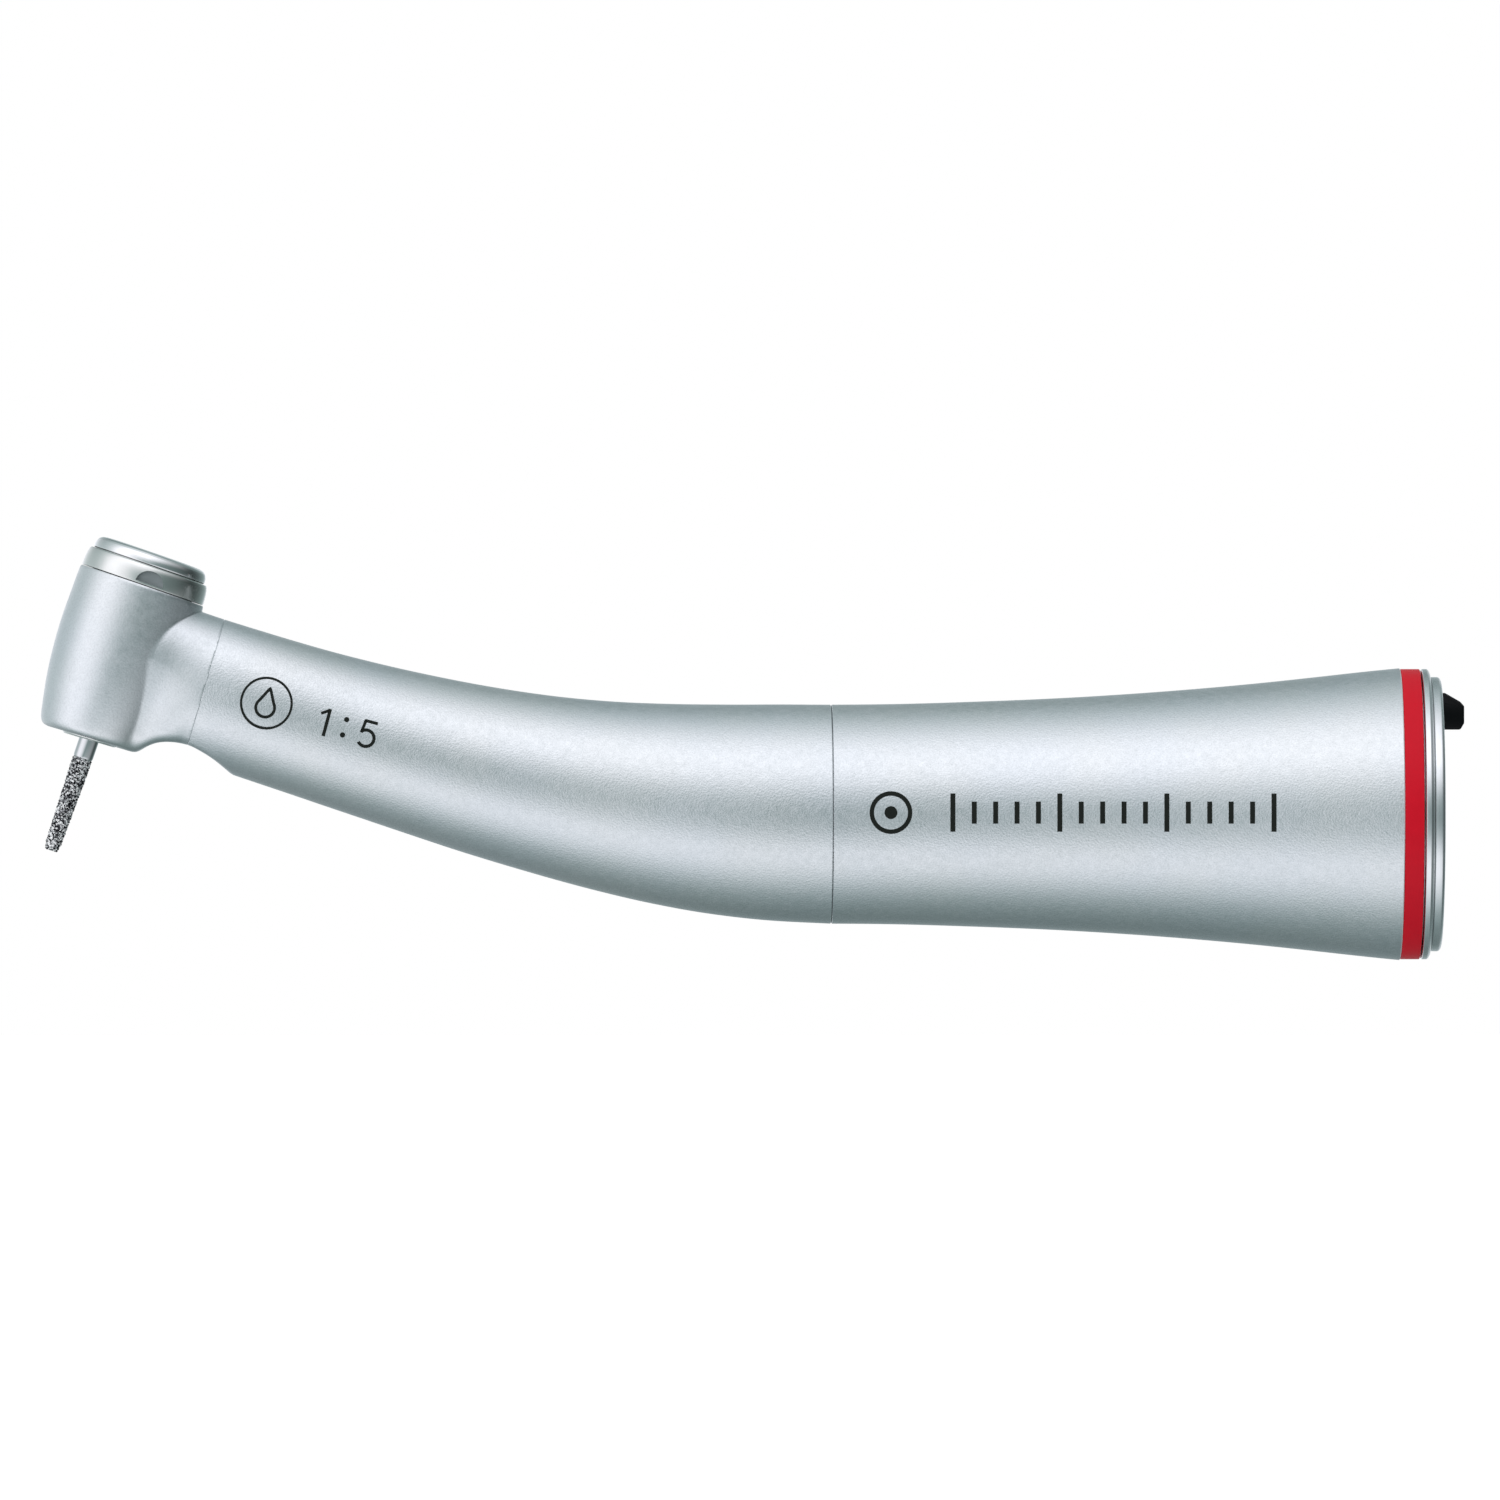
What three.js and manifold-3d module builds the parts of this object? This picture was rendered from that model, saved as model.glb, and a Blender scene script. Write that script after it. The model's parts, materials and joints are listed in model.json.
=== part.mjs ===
// Speed-increasing dental contra-angle handpiece, 1:5, with a friction-grip diamond bur.
// Units are millimetres, +Z is up, +X runs from the head to the motor coupling.
// The origin is the centre of the drive dog's end face, on the drive axis.
//
// Two frames are used below. "Front" is the head end, -x; "rear" is the motor end, +x.
//   barrel frame: the drive axis is x, and x = 0 is the rear face of the coupling socket.
//   head frame:   origin where the neck axis meets the bur axis; z is the bur axis (button up),
//                 x is the front shaft's axis, running back towards the motor.
import * as THREE from "three";
import { mergeVertices } from "three/addons/utils/BufferGeometryUtils.js";
import Module from "manifold-3d";

const wasm = await Module();
wasm.setup();

// ---------------------------------------------------------------- driving dimensions
const DOG_DEPTH = 18.0; // from the socket's rear face in to the drive dog's end face
// Bur axis from the barrel's vertical, and front shaft from its horizontal.
const HEAD_TILT = THREE.MathUtils.degToRad(19);
const [HEAD_X, HEAD_Z] = [-90.34, 10.38]; // head frame's origin, in the barrel frame
const SEAM_TILT = THREE.MathUtils.degToRad(16.5); // joint face between head and neck sheath
const [SEAM_X, SEAM_Z] = [-84.38, 8.53];
const SEAM_GAP = 0.02;
const JOINT_X = -41.7; // joint face between neck sheath and rear sheath
const [HEAD_TOP, HEAD_BOTTOM] = [5.5, -5.76]; // head casing's faces on the bur axis
const WALL = 0.7; // neck sheath's wall
const FIT = 0.02; // radial clearance of a bearing or gear on its shaft
const DRIVE_SHAFT_R = 1.5;
const THIN_SHAFT_R = 1.0; // intermediate and front shafts
const SPINDLE_R = 1.3;
const [FINE, SMALL] = [20, 14]; // segments round large and small turned parts

// Gears: tooth counts and modules of each stage, and the pitch radii they give.
const RING_TEETH = 32, PINION_TEETH = 12, SPUR_MODULE = 0.24; // drive stage, internal
const BEND_TEETH = 14, BEND_R = 2.25; // knuckle gears at the bend, 1:1
const CROWN_TEETH = 30, SPINDLE_TEETH = 16, HEAD_MODULE = 0.2; // head stage
const RING_R = (RING_TEETH * SPUR_MODULE) / 2;
const PINION_R = (PINION_TEETH * SPUR_MODULE) / 2;
const CROWN_R = (CROWN_TEETH * HEAD_MODULE) / 2;
const SPINDLE_GEAR_R = (SPINDLE_TEETH * HEAD_MODULE) / 2;

// The intermediate shaft lies over the drive axis and crosses the front shaft at the bend.
const MID_Z = RING_R - PINION_R;
const BEND_X = HEAD_X + (HEAD_Z - MID_Z) / Math.tan(HEAD_TILT); // barrel frame
const FRONT_BEND_X = (BEND_X - HEAD_X) / Math.cos(HEAD_TILT); // head frame
const BEND_CONE = (Math.PI - HEAD_TILT) / 2; // pitch cone angle of both knuckle gears

// Neck stations in the barrel frame: centre x, centre z, half height, half width.
const NECK = [
  [HEAD_X, HEAD_Z, 4.9, 3.95], [-87.3, 9.46, 4.9, 4.0], [SEAM_X, SEAM_Z, 4.92, 4.42],
  [-81.9, 7.73, 4.95, 4.72], [-77.82, 6.44, 5.03, 4.98], [-73.74, 5.22, 5.19, 5.19],
  [-69.66, 4.08, 5.42, 5.42], [-65.58, 3.02, 5.71, 5.71], [-61.5, 2.1, 6.03, 6.03],
  [-57.41, 1.33, 6.41, 6.41], [-53.33, 0.74, 6.81, 6.81], [-49.25, 0.33, 7.15, 7.15],
  [-45.17, 0.1, 7.37, 7.37], [JOINT_X, 0, 7.45, 7.45], [-39, 0, 7.45, 7.45],
];
// Rear sheath's outer and inner profiles: x, radius.
const REAR_OUTER = [
  [-41.68, 7.45], [-37, 7.5], [-32.93, 7.62], [-28.84, 7.77], [-24.76, 7.97], [-20.68, 8.23],
  [-16.6, 8.545], [-12.52, 8.92], [-8.44, 9.355], [-4.35, 9.8], [-3.2, 9.91], [-3.06, 9.86],
];
const REAR_INNER = [
  [-3.06, 8.34], [-11.6, 8.34], [-11.6, 8.1], [-16.6, 7.75], [-24.76, 7.25], [-32.93, 6.9],
  [-41.68, 6.75],
];
// Head casing's outer profile on the bur axis: z, radius.
const HEAD_PROFILE = [
  [HEAD_TOP, 4.37], [5.35, 4.41], [3.2, 4.46], [2.0, 4.475], [0.9, 4.45], [-0.2, 4.385],
  [-1.3, 4.29], [-2.4, 4.15], [-3.4, 3.985], [-4.4, 3.775], [-5.1, 3.6], [-5.5, 3.42],
  [-5.7, 3.16], [HEAD_BOTTOM, 2.9],
];
// Scoop under the neck, in the head frame: x, z.
const SCOOP = [
  [3.3, -5.45], [3.72, -4.93], [4.38, -4.35], [5.13, -4.01], [5.9, -3.83], [6.6, -3.77],
  [7.4, -3.88], [8.34, -4.1], [9.14, -4.38], [9.91, -4.7], [10.4, -4.95],
];
// Peg at the top of the socket: half width, and its lower and upper faces.
const PEG = { halfWidth: 1.5, bottom: 5.75, top: 8.25 };

// Bearing sizes. innerRace is the inner race's outside radius, outerRace the outer race's inside.
const BALL_COUNT = 7;
const DRIVE_BEARING = {
  width: 2.0, bore: DRIVE_SHAFT_R + FIT, outside: 3.57, innerRace: 1.95, outerRace: 3.1,
};
const THIN_BEARING = {
  width: 1.3, bore: THIN_SHAFT_R + FIT, outside: 2.35, innerRace: 1.3, outerRace: 1.95,
};
const HEAD_BEARING = {
  width: 1.7, bore: SPINDLE_R + FIT, outside: 2.75, innerRace: 1.62, outerRace: 2.4,
};

// ---------------------------------------------------------------- materials
const TITANIUM = { color: 0xc3c9cc, roughness: 0.42, metalness: 0.75 };
const POLISHED = { color: 0xc9ccc8, roughness: 0.12, metalness: 1.0 };
const STEEL = { color: 0xb9bdc0, roughness: 0.3, metalness: 1.0 };
const GEAR = { color: 0xa9a59a, roughness: 0.35, metalness: 0.95 };
const RED = { color: 0xc01f2c, roughness: 0.4, metalness: 0.05 };
const BLACK = { color: 0x0c0d0e, roughness: 0.35, metalness: 0.0 };
const RUBBER = { color: 0x1d1a18, roughness: 0.8, metalness: 0.0 };
const GLASS = { color: 0xdfeef2, roughness: 0.05, metalness: 0.0 };
const DIAMOND = { color: 0x6d6f70, roughness: 0.85, metalness: 0.4 };
const CERAMIC = { color: 0xe6e4dc, roughness: 0.3, metalness: 0.0 };

// ---------------------------------------------------------------- solids
// Turns a closed geometry into a solid, with its faces turned outwards.
function toSolid(geometry) {
  const bare = geometry.index ? geometry.toNonIndexed() : geometry.clone();
  for (const key of Object.keys(bare.attributes)) {
    if (key !== "position") bare.deleteAttribute(key);
  }
  const merged = mergeVertices(bare, 1e-5);
  const index = merged.index.array;
  const make = (flip) => {
    const triangles = [];
    for (let i = 0; i < index.length; i += 3) {
      const [a, b, c] = index.slice(i, i + 3);
      if (a === b || b === c || a === c) continue;
      triangles.push(a, ...(flip ? [c, b] : [b, c]));
    }
    return new wasm.Manifold(new wasm.Mesh({
      numProp: 3,
      vertProperties: new Float32Array(merged.attributes.position.array),
      triVerts: new Uint32Array(triangles),
    }));
  };
  const solid = make(false);
  return solid.volume() < 0 ? make(true) : solid;
}

const cut = (body, ...tools) => tools.reduce((rest, tool) => rest.subtract(tool), body);
const join = (body, ...parts) => parts.reduce((whole, part) => whole.add(part), body);
const move = (solid, x, y, z) => solid.translate([x, y, z]);

function addPiece(parent, name, solid, finish) {
  const { vertProperties, triVerts } = solid.getMesh();
  const geometry = new THREE.BufferGeometry();
  geometry.setAttribute(
    "position", new THREE.BufferAttribute(new Float32Array(vertProperties), 3));
  geometry.setIndex(new THREE.BufferAttribute(new Uint32Array(triVerts), 1));
  geometry.computeVertexNormals();
  const mesh = new THREE.Mesh(geometry, new THREE.MeshStandardMaterial(finish));
  mesh.name = name;
  parent.add(mesh);
}

// A body of revolution from a profile of [along, radius] on axis "x" or "z".
// A profile that doesn't start and end on the axis closes on itself.
function revolve(profile, axis = "x", segments = SMALL) {
  const points = profile.map(([along, radius]) => new THREE.Vector2(radius, along));
  const onAxis = profile[0][1] === 0 && profile.at(-1)[1] === 0;
  if (!onAxis) points.push(points[0].clone());
  const geometry = new THREE.LatheGeometry(points, segments);
  if (axis === "x") geometry.rotateZ(-Math.PI / 2);
  else geometry.rotateX(Math.PI / 2);
  return toSolid(geometry);
}
const ring = (start, end, innerR, outerR, axis, segments) =>
  revolve([[start, innerR], [start, outerR], [end, outerR], [end, innerR]], axis, segments);
const rod = (start, end, radius, axis, segments) =>
  revolve([[start, 0], [start, radius], [end, radius], [end, 0]], axis, segments);

const box = ([x0, x1], [y0, y1], [z0, z1]) =>
  toSolid(new THREE.BoxGeometry(x1 - x0, y1 - y0, z1 - z0)
    .translate((x0 + x1) / 2, (y0 + y1) / 2, (z0 + z1) / 2));

function toShape(outline, holes = []) {
  const vectors = (points) => points.map(([x, y]) => new THREE.Vector2(x, y));
  const shape = new THREE.Shape(vectors(outline));
  for (const hole of holes) shape.holes.push(new THREE.Path(vectors(hole)));
  return shape;
}
const circle = (radius, sides) =>
  Array.from({ length: sides }, (_, i) => {
    const angle = (2 * Math.PI * i) / sides;
    return [radius * Math.cos(angle), radius * Math.sin(angle)];
  });

// Where an extrusion's outline x, outline y and depth point; on "y" the depth runs to -y.
const EXTRUDE_DIRECTIONS = {
  x: [[0, 1, 0], [0, 0, 1], [1, 0, 0]],
  y: [[1, 0, 0], [0, 0, 1], [0, -1, 0]],
  z: [[1, 0, 0], [0, 1, 0], [0, 0, 1]],
};
function extrude(outline, start, end, axis, holes) {
  const geometry = new THREE.ExtrudeGeometry(
    toShape(outline, holes), { depth: end - start, bevelEnabled: false, curveSegments: 1 });
  geometry.translate(0, 0, start);
  const directions = EXTRUDE_DIRECTIONS[axis].map((d) => new THREE.Vector3(...d));
  geometry.applyMatrix4(new THREE.Matrix4().makeBasis(...directions));
  return toSolid(geometry);
}

// A wire, or with a bore a tube, along a curve, with flat ends.
function alongCurve(curve, { radius, sides, steps, bore = 0 }) {
  const shape = toShape(circle(radius, sides), bore ? [circle(bore, sides)] : []);
  return toSolid(new THREE.ExtrudeGeometry(
    shape, { steps, bevelEnabled: false, extrudePath: curve, curveSegments: 1 }));
}
const spline = (points) => new THREE.CatmullRomCurve3(
  points.map((point) => new THREE.Vector3(...point)), false, "centripetal");

class Helix extends THREE.Curve {
  constructor({ radius, bottom, top, turns }) {
    super();
    Object.assign(this, { radius, bottom, top, turns });
  }
  getPoint(t, target = new THREE.Vector3()) {
    const angle = 2 * Math.PI * this.turns * t;
    return target.set(
      this.radius * Math.cos(angle),
      this.radius * Math.sin(angle),
      this.bottom + (this.top - this.bottom) * t);
  }
}

// A skin over sections of [x, y, z] points. With two end centres its ends are capped,
// without them the last section joins the first.
function skin(sections, endCentres = []) {
  const count = sections.length, sides = sections[0].length;
  const capped = endCentres.length > 0;
  const triangles = [];
  for (let k = 0; k < (capped ? count - 1 : count); k++) {
    const here = k * sides, next = ((k + 1) % count) * sides;
    for (let i = 0; i < sides; i++) {
      const j = (i + 1) % sides;
      triangles.push(here + i, here + j, next + i, here + j, next + j, next + i);
    }
  }
  if (capped) {
    const last = (count - 1) * sides, centre = count * sides;
    for (let i = 0; i < sides; i++) {
      const j = (i + 1) % sides;
      triangles.push(centre, j, i, centre + 1, last + i, last + j);
    }
  }
  const positions = new Float32Array([...sections.flat(), ...endCentres].flat());
  const geometry = new THREE.BufferGeometry();
  geometry.setAttribute("position", new THREE.BufferAttribute(positions, 3));
  geometry.setIndex(triangles);
  return toSolid(geometry);
}

// A solid through oval stations; tilt leans a station's height towards +x.
function loft(stations, sides) {
  const sections = stations.map(({ x, z, tilt, halfHeight, halfWidth }) =>
    circle(1, sides).map(([rise, across]) => [
      x + Math.sin(tilt) * halfHeight * rise,
      halfWidth * across,
      z + Math.cos(tilt) * halfHeight * rise,
    ]));
  const centres = [stations[0], stations.at(-1)].map(({ x, z }) => [x, 0, z]);
  return skin(sections, centres);
}

// ---------------------------------------------------------------- neck and head frames
function neckTilt(k) {
  const before = NECK[Math.max(0, k - 1)];
  const after = NECK[Math.min(NECK.length - 1, k + 1)];
  return Math.atan2(before[1] - after[1], after[0] - before[0]);
}
// The neck's outside, drawn in by an inset, through its first stations from the head.
const neckTube = (inset, count = NECK.length) =>
  loft(NECK.slice(0, count).map(([x, z, halfHeight, halfWidth], k) => ({
    x, z, tilt: neckTilt(k), halfHeight: halfHeight - inset, halfWidth: halfWidth - inset,
  })), 20);
// The neck's centre height and half height at a place x.
function neckAt(x) {
  let k = 1;
  while (k < NECK.length - 1 && NECK[k][0] < x) k++;
  const before = NECK[k - 1], after = NECK[k];
  const t = (x - before[0]) / (after[0] - before[0]);
  const mix = (column) => before[column] * (1 - t) + after[column] * t;
  return { z: mix(1), halfHeight: mix(2) };
}

const headMatrix = new THREE.Matrix4().makeRotationY(HEAD_TILT).setPosition(HEAD_X, 0, HEAD_Z);
const headToBarrel = (solid) => solid.transform(headMatrix.toArray());
const headPoint = (x, y, z) => new THREE.Vector3(x, y, z).applyMatrix4(headMatrix).toArray();

// Everything in front of (side -1) or behind (side 1) the head joint, in the barrel frame.
// The offset draws the block back from the joint; below zero it passes over it.
function seamBlock(side, offset) {
  const block = new THREE.BoxGeometry(60, 40, 60).translate(side * (30 + offset), 0, 0);
  block.applyMatrix4(
    new THREE.Matrix4().makeRotationY(SEAM_TILT).setPosition(SEAM_X, 0, SEAM_Z));
  return toSolid(block);
}
// The space under the scoop, in the barrel frame, with the scoop raised by a lift.
function scoop(lift) {
  const raised = SCOOP.map(([x, z]) => [x, z + lift]);
  const outline = [...raised, [SCOOP.at(-1)[0], -9], [SCOOP[0][0], -9]];
  return headToBarrel(extrude(outline, -9, 9, "y"));
}

// ---------------------------------------------------------------- gears and bearings
// The four corners of a tooth: whether at the tip, and the offset from the tooth's centre in
// pitches. A share is the part of each pitch that a tooth fills, at root or at tip.
const toothCorners = (rootShare, tipShare) => [
  [false, -rootShare / 2], [true, -tipShare / 2], [true, tipShare / 2], [false, rootShare / 2],
];
function toothOutline({ count, rootR, tipR, rootShare, tipShare, phase }) {
  const points = [], pitch = (2 * Math.PI) / count;
  for (let i = 0; i < count; i++) {
    for (const [atTip, offset] of toothCorners(rootShare, tipShare)) {
      const radius = atTip ? tipR : rootR;
      const angle = phase + (i + offset) * pitch;
      points.push([radius * Math.cos(angle), radius * Math.sin(angle)]);
    }
  }
  return points;
}
// A point at an axial place and a radius round x. The angle starts from +z.
const aroundX = (along, radius, angle) =>
  [along, radius * Math.sin(angle), radius * Math.cos(angle)];
const aroundZ = (along, radius, angle) =>
  [radius * Math.cos(angle), radius * Math.sin(angle), along];

// Face teeth round x. sectionAt(atTip) gives the cross-section as [along, radius] points.
function faceGear({ count, rootShare, tipShare, phase, sectionAt }) {
  const sections = [], pitch = (2 * Math.PI) / count;
  for (let i = 0; i < count; i++) {
    for (const [atTip, offset] of toothCorners(rootShare, tipShare)) {
      const angle = phase + (i + offset) * pitch;
      sections.push(sectionAt(atTip).map(([along, radius]) => aroundX(along, radius, angle)));
    }
  }
  return skin(sections);
}

// The balls and the thin cage ring between them, as one solid. Each ball is a wide section
// with a narrow one on either side.
function ballSet(axis, middle, { innerRace, outerRace }) {
  const flat = outerRace * Math.cos(Math.PI / SMALL); // outer race's radius at mid-facet
  const centreR = (innerRace + flat) / 2;
  const ballR = (flat - innerRace) / 2 - 0.02;
  const step = (ballR * 0.62) / centreR;
  const around = axis === "x" ? aroundX : aroundZ;
  const sections = [];
  for (let i = 0; i < BALL_COUNT; i++) {
    for (const [steps, scale] of [[-2.2, 0.3], [0, 1], [2.2, 0.3]]) {
      const angle = (2 * Math.PI * i) / BALL_COUNT + steps * step;
      const size = ballR * scale;
      sections.push([[-1, 0], [0, 1], [1, 0], [0, -1]].map(([along, out]) =>
        around(middle + along * size, centreR + out * size, angle)));
    }
  }
  return skin(sections);
}
function addBearing(parent, name, axis, start, size, place = (solid) => solid) {
  const { width, bore, outside, innerRace, outerRace } = size;
  const outer = ring(start, start + width, outerRace, outside, axis, SMALL);
  const balls = ballSet(axis, start + width / 2, size);
  const inner = ring(start, start + width, bore, innerRace, axis, SMALL);
  addPiece(parent, name + "_outer_race", place(outer), STEEL);
  addPiece(parent, name + "_balls", place(balls), CERAMIC);
  addPiece(parent, name + "_inner_race", place(inner), STEEL);
}
// A tube round x with a bearing seat in each end, each seat running in to a shoulder.
function bearingTube({ front, frontShoulder, rearShoulder, rear, outerR }) {
  const seatR = THIN_BEARING.outside + FIT, boreR = 2.0;
  return revolve([
    [front, seatR], [front, outerR], [rear, outerR], [rear, seatR],
    [rearShoulder, seatR], [rearShoulder, boreR], [frontShoulder, boreR], [frontShoulder, seatR],
  ]);
}

// ---------------------------------------------------------------- light guide, spray tubes
const PASSAGE_CLEARANCE = 0.08;
const GUIDE = { radius: 0.6, sides: 8, steps: 20 };
const TUBE = { radius: 0.25, sides: 5, steps: 16 };
const TUBE_WALL = 0.1;

// Routes in the barrel frame, from the rear: x, y, z.
const guideRoute = spline([
  [-23.1, 0, -5.1], [-30, 0, -5.15], [-38, 0, -5.3], [-46, 0, -5.6], [-52, 0, -4.75],
  [-58, 0, -3.25], [-64, 0, -1.65], headPoint(20.5, 0, -3.42), headPoint(15, 0, -3.42),
  headPoint(11, 0, -3.5), headPoint(7.2, 0, -3.98),
]);
const tubeRoutes = [-1, 1].map((side) => spline([
  [-23.4, side * 3.4, -3.6], [-30, side * 3.5, -3.75], [-40, side * 3.7, -4.0],
  [-47, side * 3.8, -4.15], [-54, side * 3.6, -3.1], [-61, side * 3.3, -1.4],
  [-67, side * 3.15, 0.35], headPoint(17, side * 2.95, -2.05),
  headPoint(9, side * 2.95, -2.05), headPoint(4.6, side * 2.95, -2.06),
]));
const passage = (route, size) =>
  alongCurve(route, { ...size, radius: size.radius + PASSAGE_CLEARANCE });
const guideHole = passage(guideRoute, GUIDE);
const tubeHoles = tubeRoutes.map((route) => passage(route, TUBE));
const passages = [guideHole, ...tubeHoles];

const lightGuide = () => cut(alongCurve(guideRoute, GUIDE), scoop(0.02));
const sprayTube = (route) => alongCurve(route, { ...TUBE, bore: TUBE.radius - TUBE_WALL });

// ---------------------------------------------------------------- casings
function headCasing() {
  const body = revolve([[HEAD_TOP, 0], ...HEAD_PROFILE, [HEAD_BOTTOM, 0]], "z", FINE);
  // The deep, narrow web that carries the neck down to the casing's foot.
  const web = loft([
    { x: 0, z: -1.6, tilt: 0, halfHeight: 3.9, halfWidth: 3.3 },
    { x: 3.2, z: -1.6, tilt: 0, halfHeight: 3.9, halfWidth: 3.3 },
    { x: 6.4, z: -1.2, tilt: 0, halfHeight: 3.5, halfWidth: 3.3 },
  ], 16);
  const headBore = revolve([
    [6, 0], [6, 3.6], [4.42, 3.6], [4.42, 3.06], [-5.16, 3.06], [-5.16, 1.96], [-6.5, 1.96],
    [-6.5, 0],
  ], "z", FINE);
  const neckBore = rod(0.6, 12, 3.25, "x", FINE);
  const casing = join(headToBarrel(body), neckTube(0, 4), headToBarrel(web));
  return cut(
    casing, seamBlock(1, 0), scoop(0), headToBarrel(headBore), headToBarrel(neckBore),
    ...tubeHoles, ...sprayPorts());
}
// Four spray ports in the foot of the casing.
function sprayPorts() {
  const circleR = 2.5;
  return [0, 1, 2, 3].map((i) => {
    const angle = Math.PI / 4 + (i * Math.PI) / 2;
    const port = rod(-6.2, -5.35, 0.16, "z", 6);
    return headToBarrel(
      move(port, circleR * Math.cos(angle), circleR * Math.sin(angle), 0));
  });
}
function neckSheath() {
  const inside = cut(neckTube(WALL), scoop(0.6)); // leaves a floor over the scoop
  const behindJoint = box([JOINT_X - 0.01, -30], [-12, 12], [-12, 12]);
  return cut(
    neckTube(0), inside, seamBlock(-1, -SEAM_GAP), scoop(0), guideHole, behindJoint);
}

// ---------------------------------------------------------------- rear end
function rearFrame() {
  const body = revolve([
    [0, 7.75], [0, 8.35], [-0.1, 8.75], [-0.28, 9.15], [-0.5, 9.33], [-0.93, 9.33],
    [-0.93, 8.9], [-3.04, 8.9], [-3.04, 8.3], [-11.5, 8.3], [-11.5, 6.6], [-25, 6.6],
    [-25, 4.05], [-41.9, 4.05], [-41.9, 6.15], [-42.6, 6.15], [-42.6, 3.6], [-40.4, 3.6],
    [-40.4, 3.2], [-27.2, 3.2], [-27.2, 3.6], [-25.0, 3.6], [-25.0, 2.85], [-23, 2.85],
    [-23, 6.0], [-11, 6.0], [-11, 7.75],
  ], "x", FINE);
  const across = PEG.halfWidth + 0.03;
  const pegSlot = box([-6.04, 1], [-across, across], [5, PEG.top + 0.02]);
  // Trims the bore behind the rear bearing with the coarser facets of the small parts.
  const boreTrim = rod(-26, -24.6, 2.85, "x", SMALL);
  return cut(body, ...passages, pegSlot, boreTrim);
}
const locatingPeg = () => extrude([
  [-6, PEG.bottom + 0.6], [-6, 7.95], [-2.9, 7.95], [-2.9, PEG.top], [0.02, PEG.top],
  [0.95, 7.72], [1.2, 7.5], [1.36, 7.1], [1.36, 6.15], [1.2, 5.88], [0.9, PEG.bottom],
  [-5.4, PEG.bottom],
], -PEG.halfWidth, PEG.halfWidth, "y");
const colourRing = () => revolve([
  [-3.03, 8.93], [-3.03, 9.8], [-2.95, 9.85], [-1.76, 9.85], [-1.69, 9.8], [-1.69, 8.93],
], "x", FINE);
const endRing = () => revolve([
  [-1.66, 8.93], [-1.66, 9.87], [-1.25, 9.87], [-1.08, 9.7], [-0.96, 9.38], [-0.96, 8.93],
], "x", FINE);

// ---------------------------------------------------------------- drive shaft
// The bell-shaped internal gear: a toothed rim in front of a turned bell.
function bellGear() {
  const rimR = 4.7;
  const hollow = toothOutline({
    count: RING_TEETH, rootR: RING_R + 0.3, tipR: RING_R - 0.2,
    rootShare: 0.5, tipShare: 0.26, phase: Math.PI / 2 + Math.PI / RING_TEETH,
  });
  const rim = extrude(circle(rimR, FINE), -48.2, -45.9, "x", [hollow]);
  const boreR = DRIVE_SHAFT_R + FIT;
  const bell = revolve([
    [-46.0, 4.25], [-46.0, rimR], [-44.3, rimR], [-43.6, 4.0], [-43.2, 2.2], [-42.8, 2.2],
    [-42.8, boreR], [-44.4, boreR], [-44.4, 4.25],
  ], "x", FINE);
  return join(rim, bell);
}
const driveShaft = () => revolve([
  [-44.8, 0], [-44.8, 1.3], [-44.6, DRIVE_SHAFT_R], [-22.9, DRIVE_SHAFT_R], [-22.9, 1.2],
  [-20.0, 1.2], [-20.0, 0],
]);
// A collar on the shaft's end with a centre pin and three lugs facing the motor.
function driveDog() {
  const body = revolve([
    [-22.8, 1.22], [-22.8, 2.3], [-22.5, 2.6], [-19.3, 2.6], [-19.3, 1.0], [-DOG_DEPTH, 1.0],
    [-DOG_DEPTH, 0], [-19.95, 0], [-19.95, 1.22],
  ]);
  const lugStep = 0.21; // radians between points; a lug spans four steps
  const lugs = [0, 1, 2].map((i) => {
    const middle = (2 * Math.PI * i) / 3;
    const outline = [];
    for (const [radius, direction] of [[2.55, 1], [1.35, -1]]) {
      for (let k = -2; k <= 2; k++) {
        const angle = middle + direction * k * lugStep;
        outline.push([radius * Math.cos(angle), radius * Math.sin(angle)]);
      }
    }
    return extrude(outline, -19.5, -18.2, "x");
  });
  return join(body, ...lugs);
}

// ---------------------------------------------------------------- intermediate shaft
const toMidAxis = (solid) => move(solid, 0, 0, MID_Z);

// A bevel gear at the bend: apex at the origin, gear behind it on +x.
function knuckleGear(phase) {
  const boreR = THIN_SHAFT_R + FIT;
  const outer = BEND_R / Math.sin(BEND_CONE), inner = outer - 0.75; // cone distances
  const [addendum, dedendum] = [0.2, 0.25];
  const rootCone = BEND_CONE - dedendum / outer;
  const tipCone = BEND_CONE + addendum / outer;
  const backX = outer * Math.cos(rootCone) + 0.45;
  const toothRing = faceGear({
    count: BEND_TEETH, rootShare: 0.56, tipShare: 0.24, phase,
    sectionAt: (atTip) => {
      const cone = atTip ? tipCone : rootCone;
      return [
        [inner * Math.cos(cone), inner * Math.sin(cone)],
        [outer * Math.cos(cone), outer * Math.sin(cone)],
        [backX, outer * 0.97], [backX, inner * 0.97],
      ];
    },
  });
  const hub = revolve([
    [0.62, boreR], [0.62, 1.55], [0.9, 2.1], [1.2, 1.9], [1.75, 1.45], [1.75, boreR],
  ]);
  return join(toothRing, hub);
}
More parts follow.
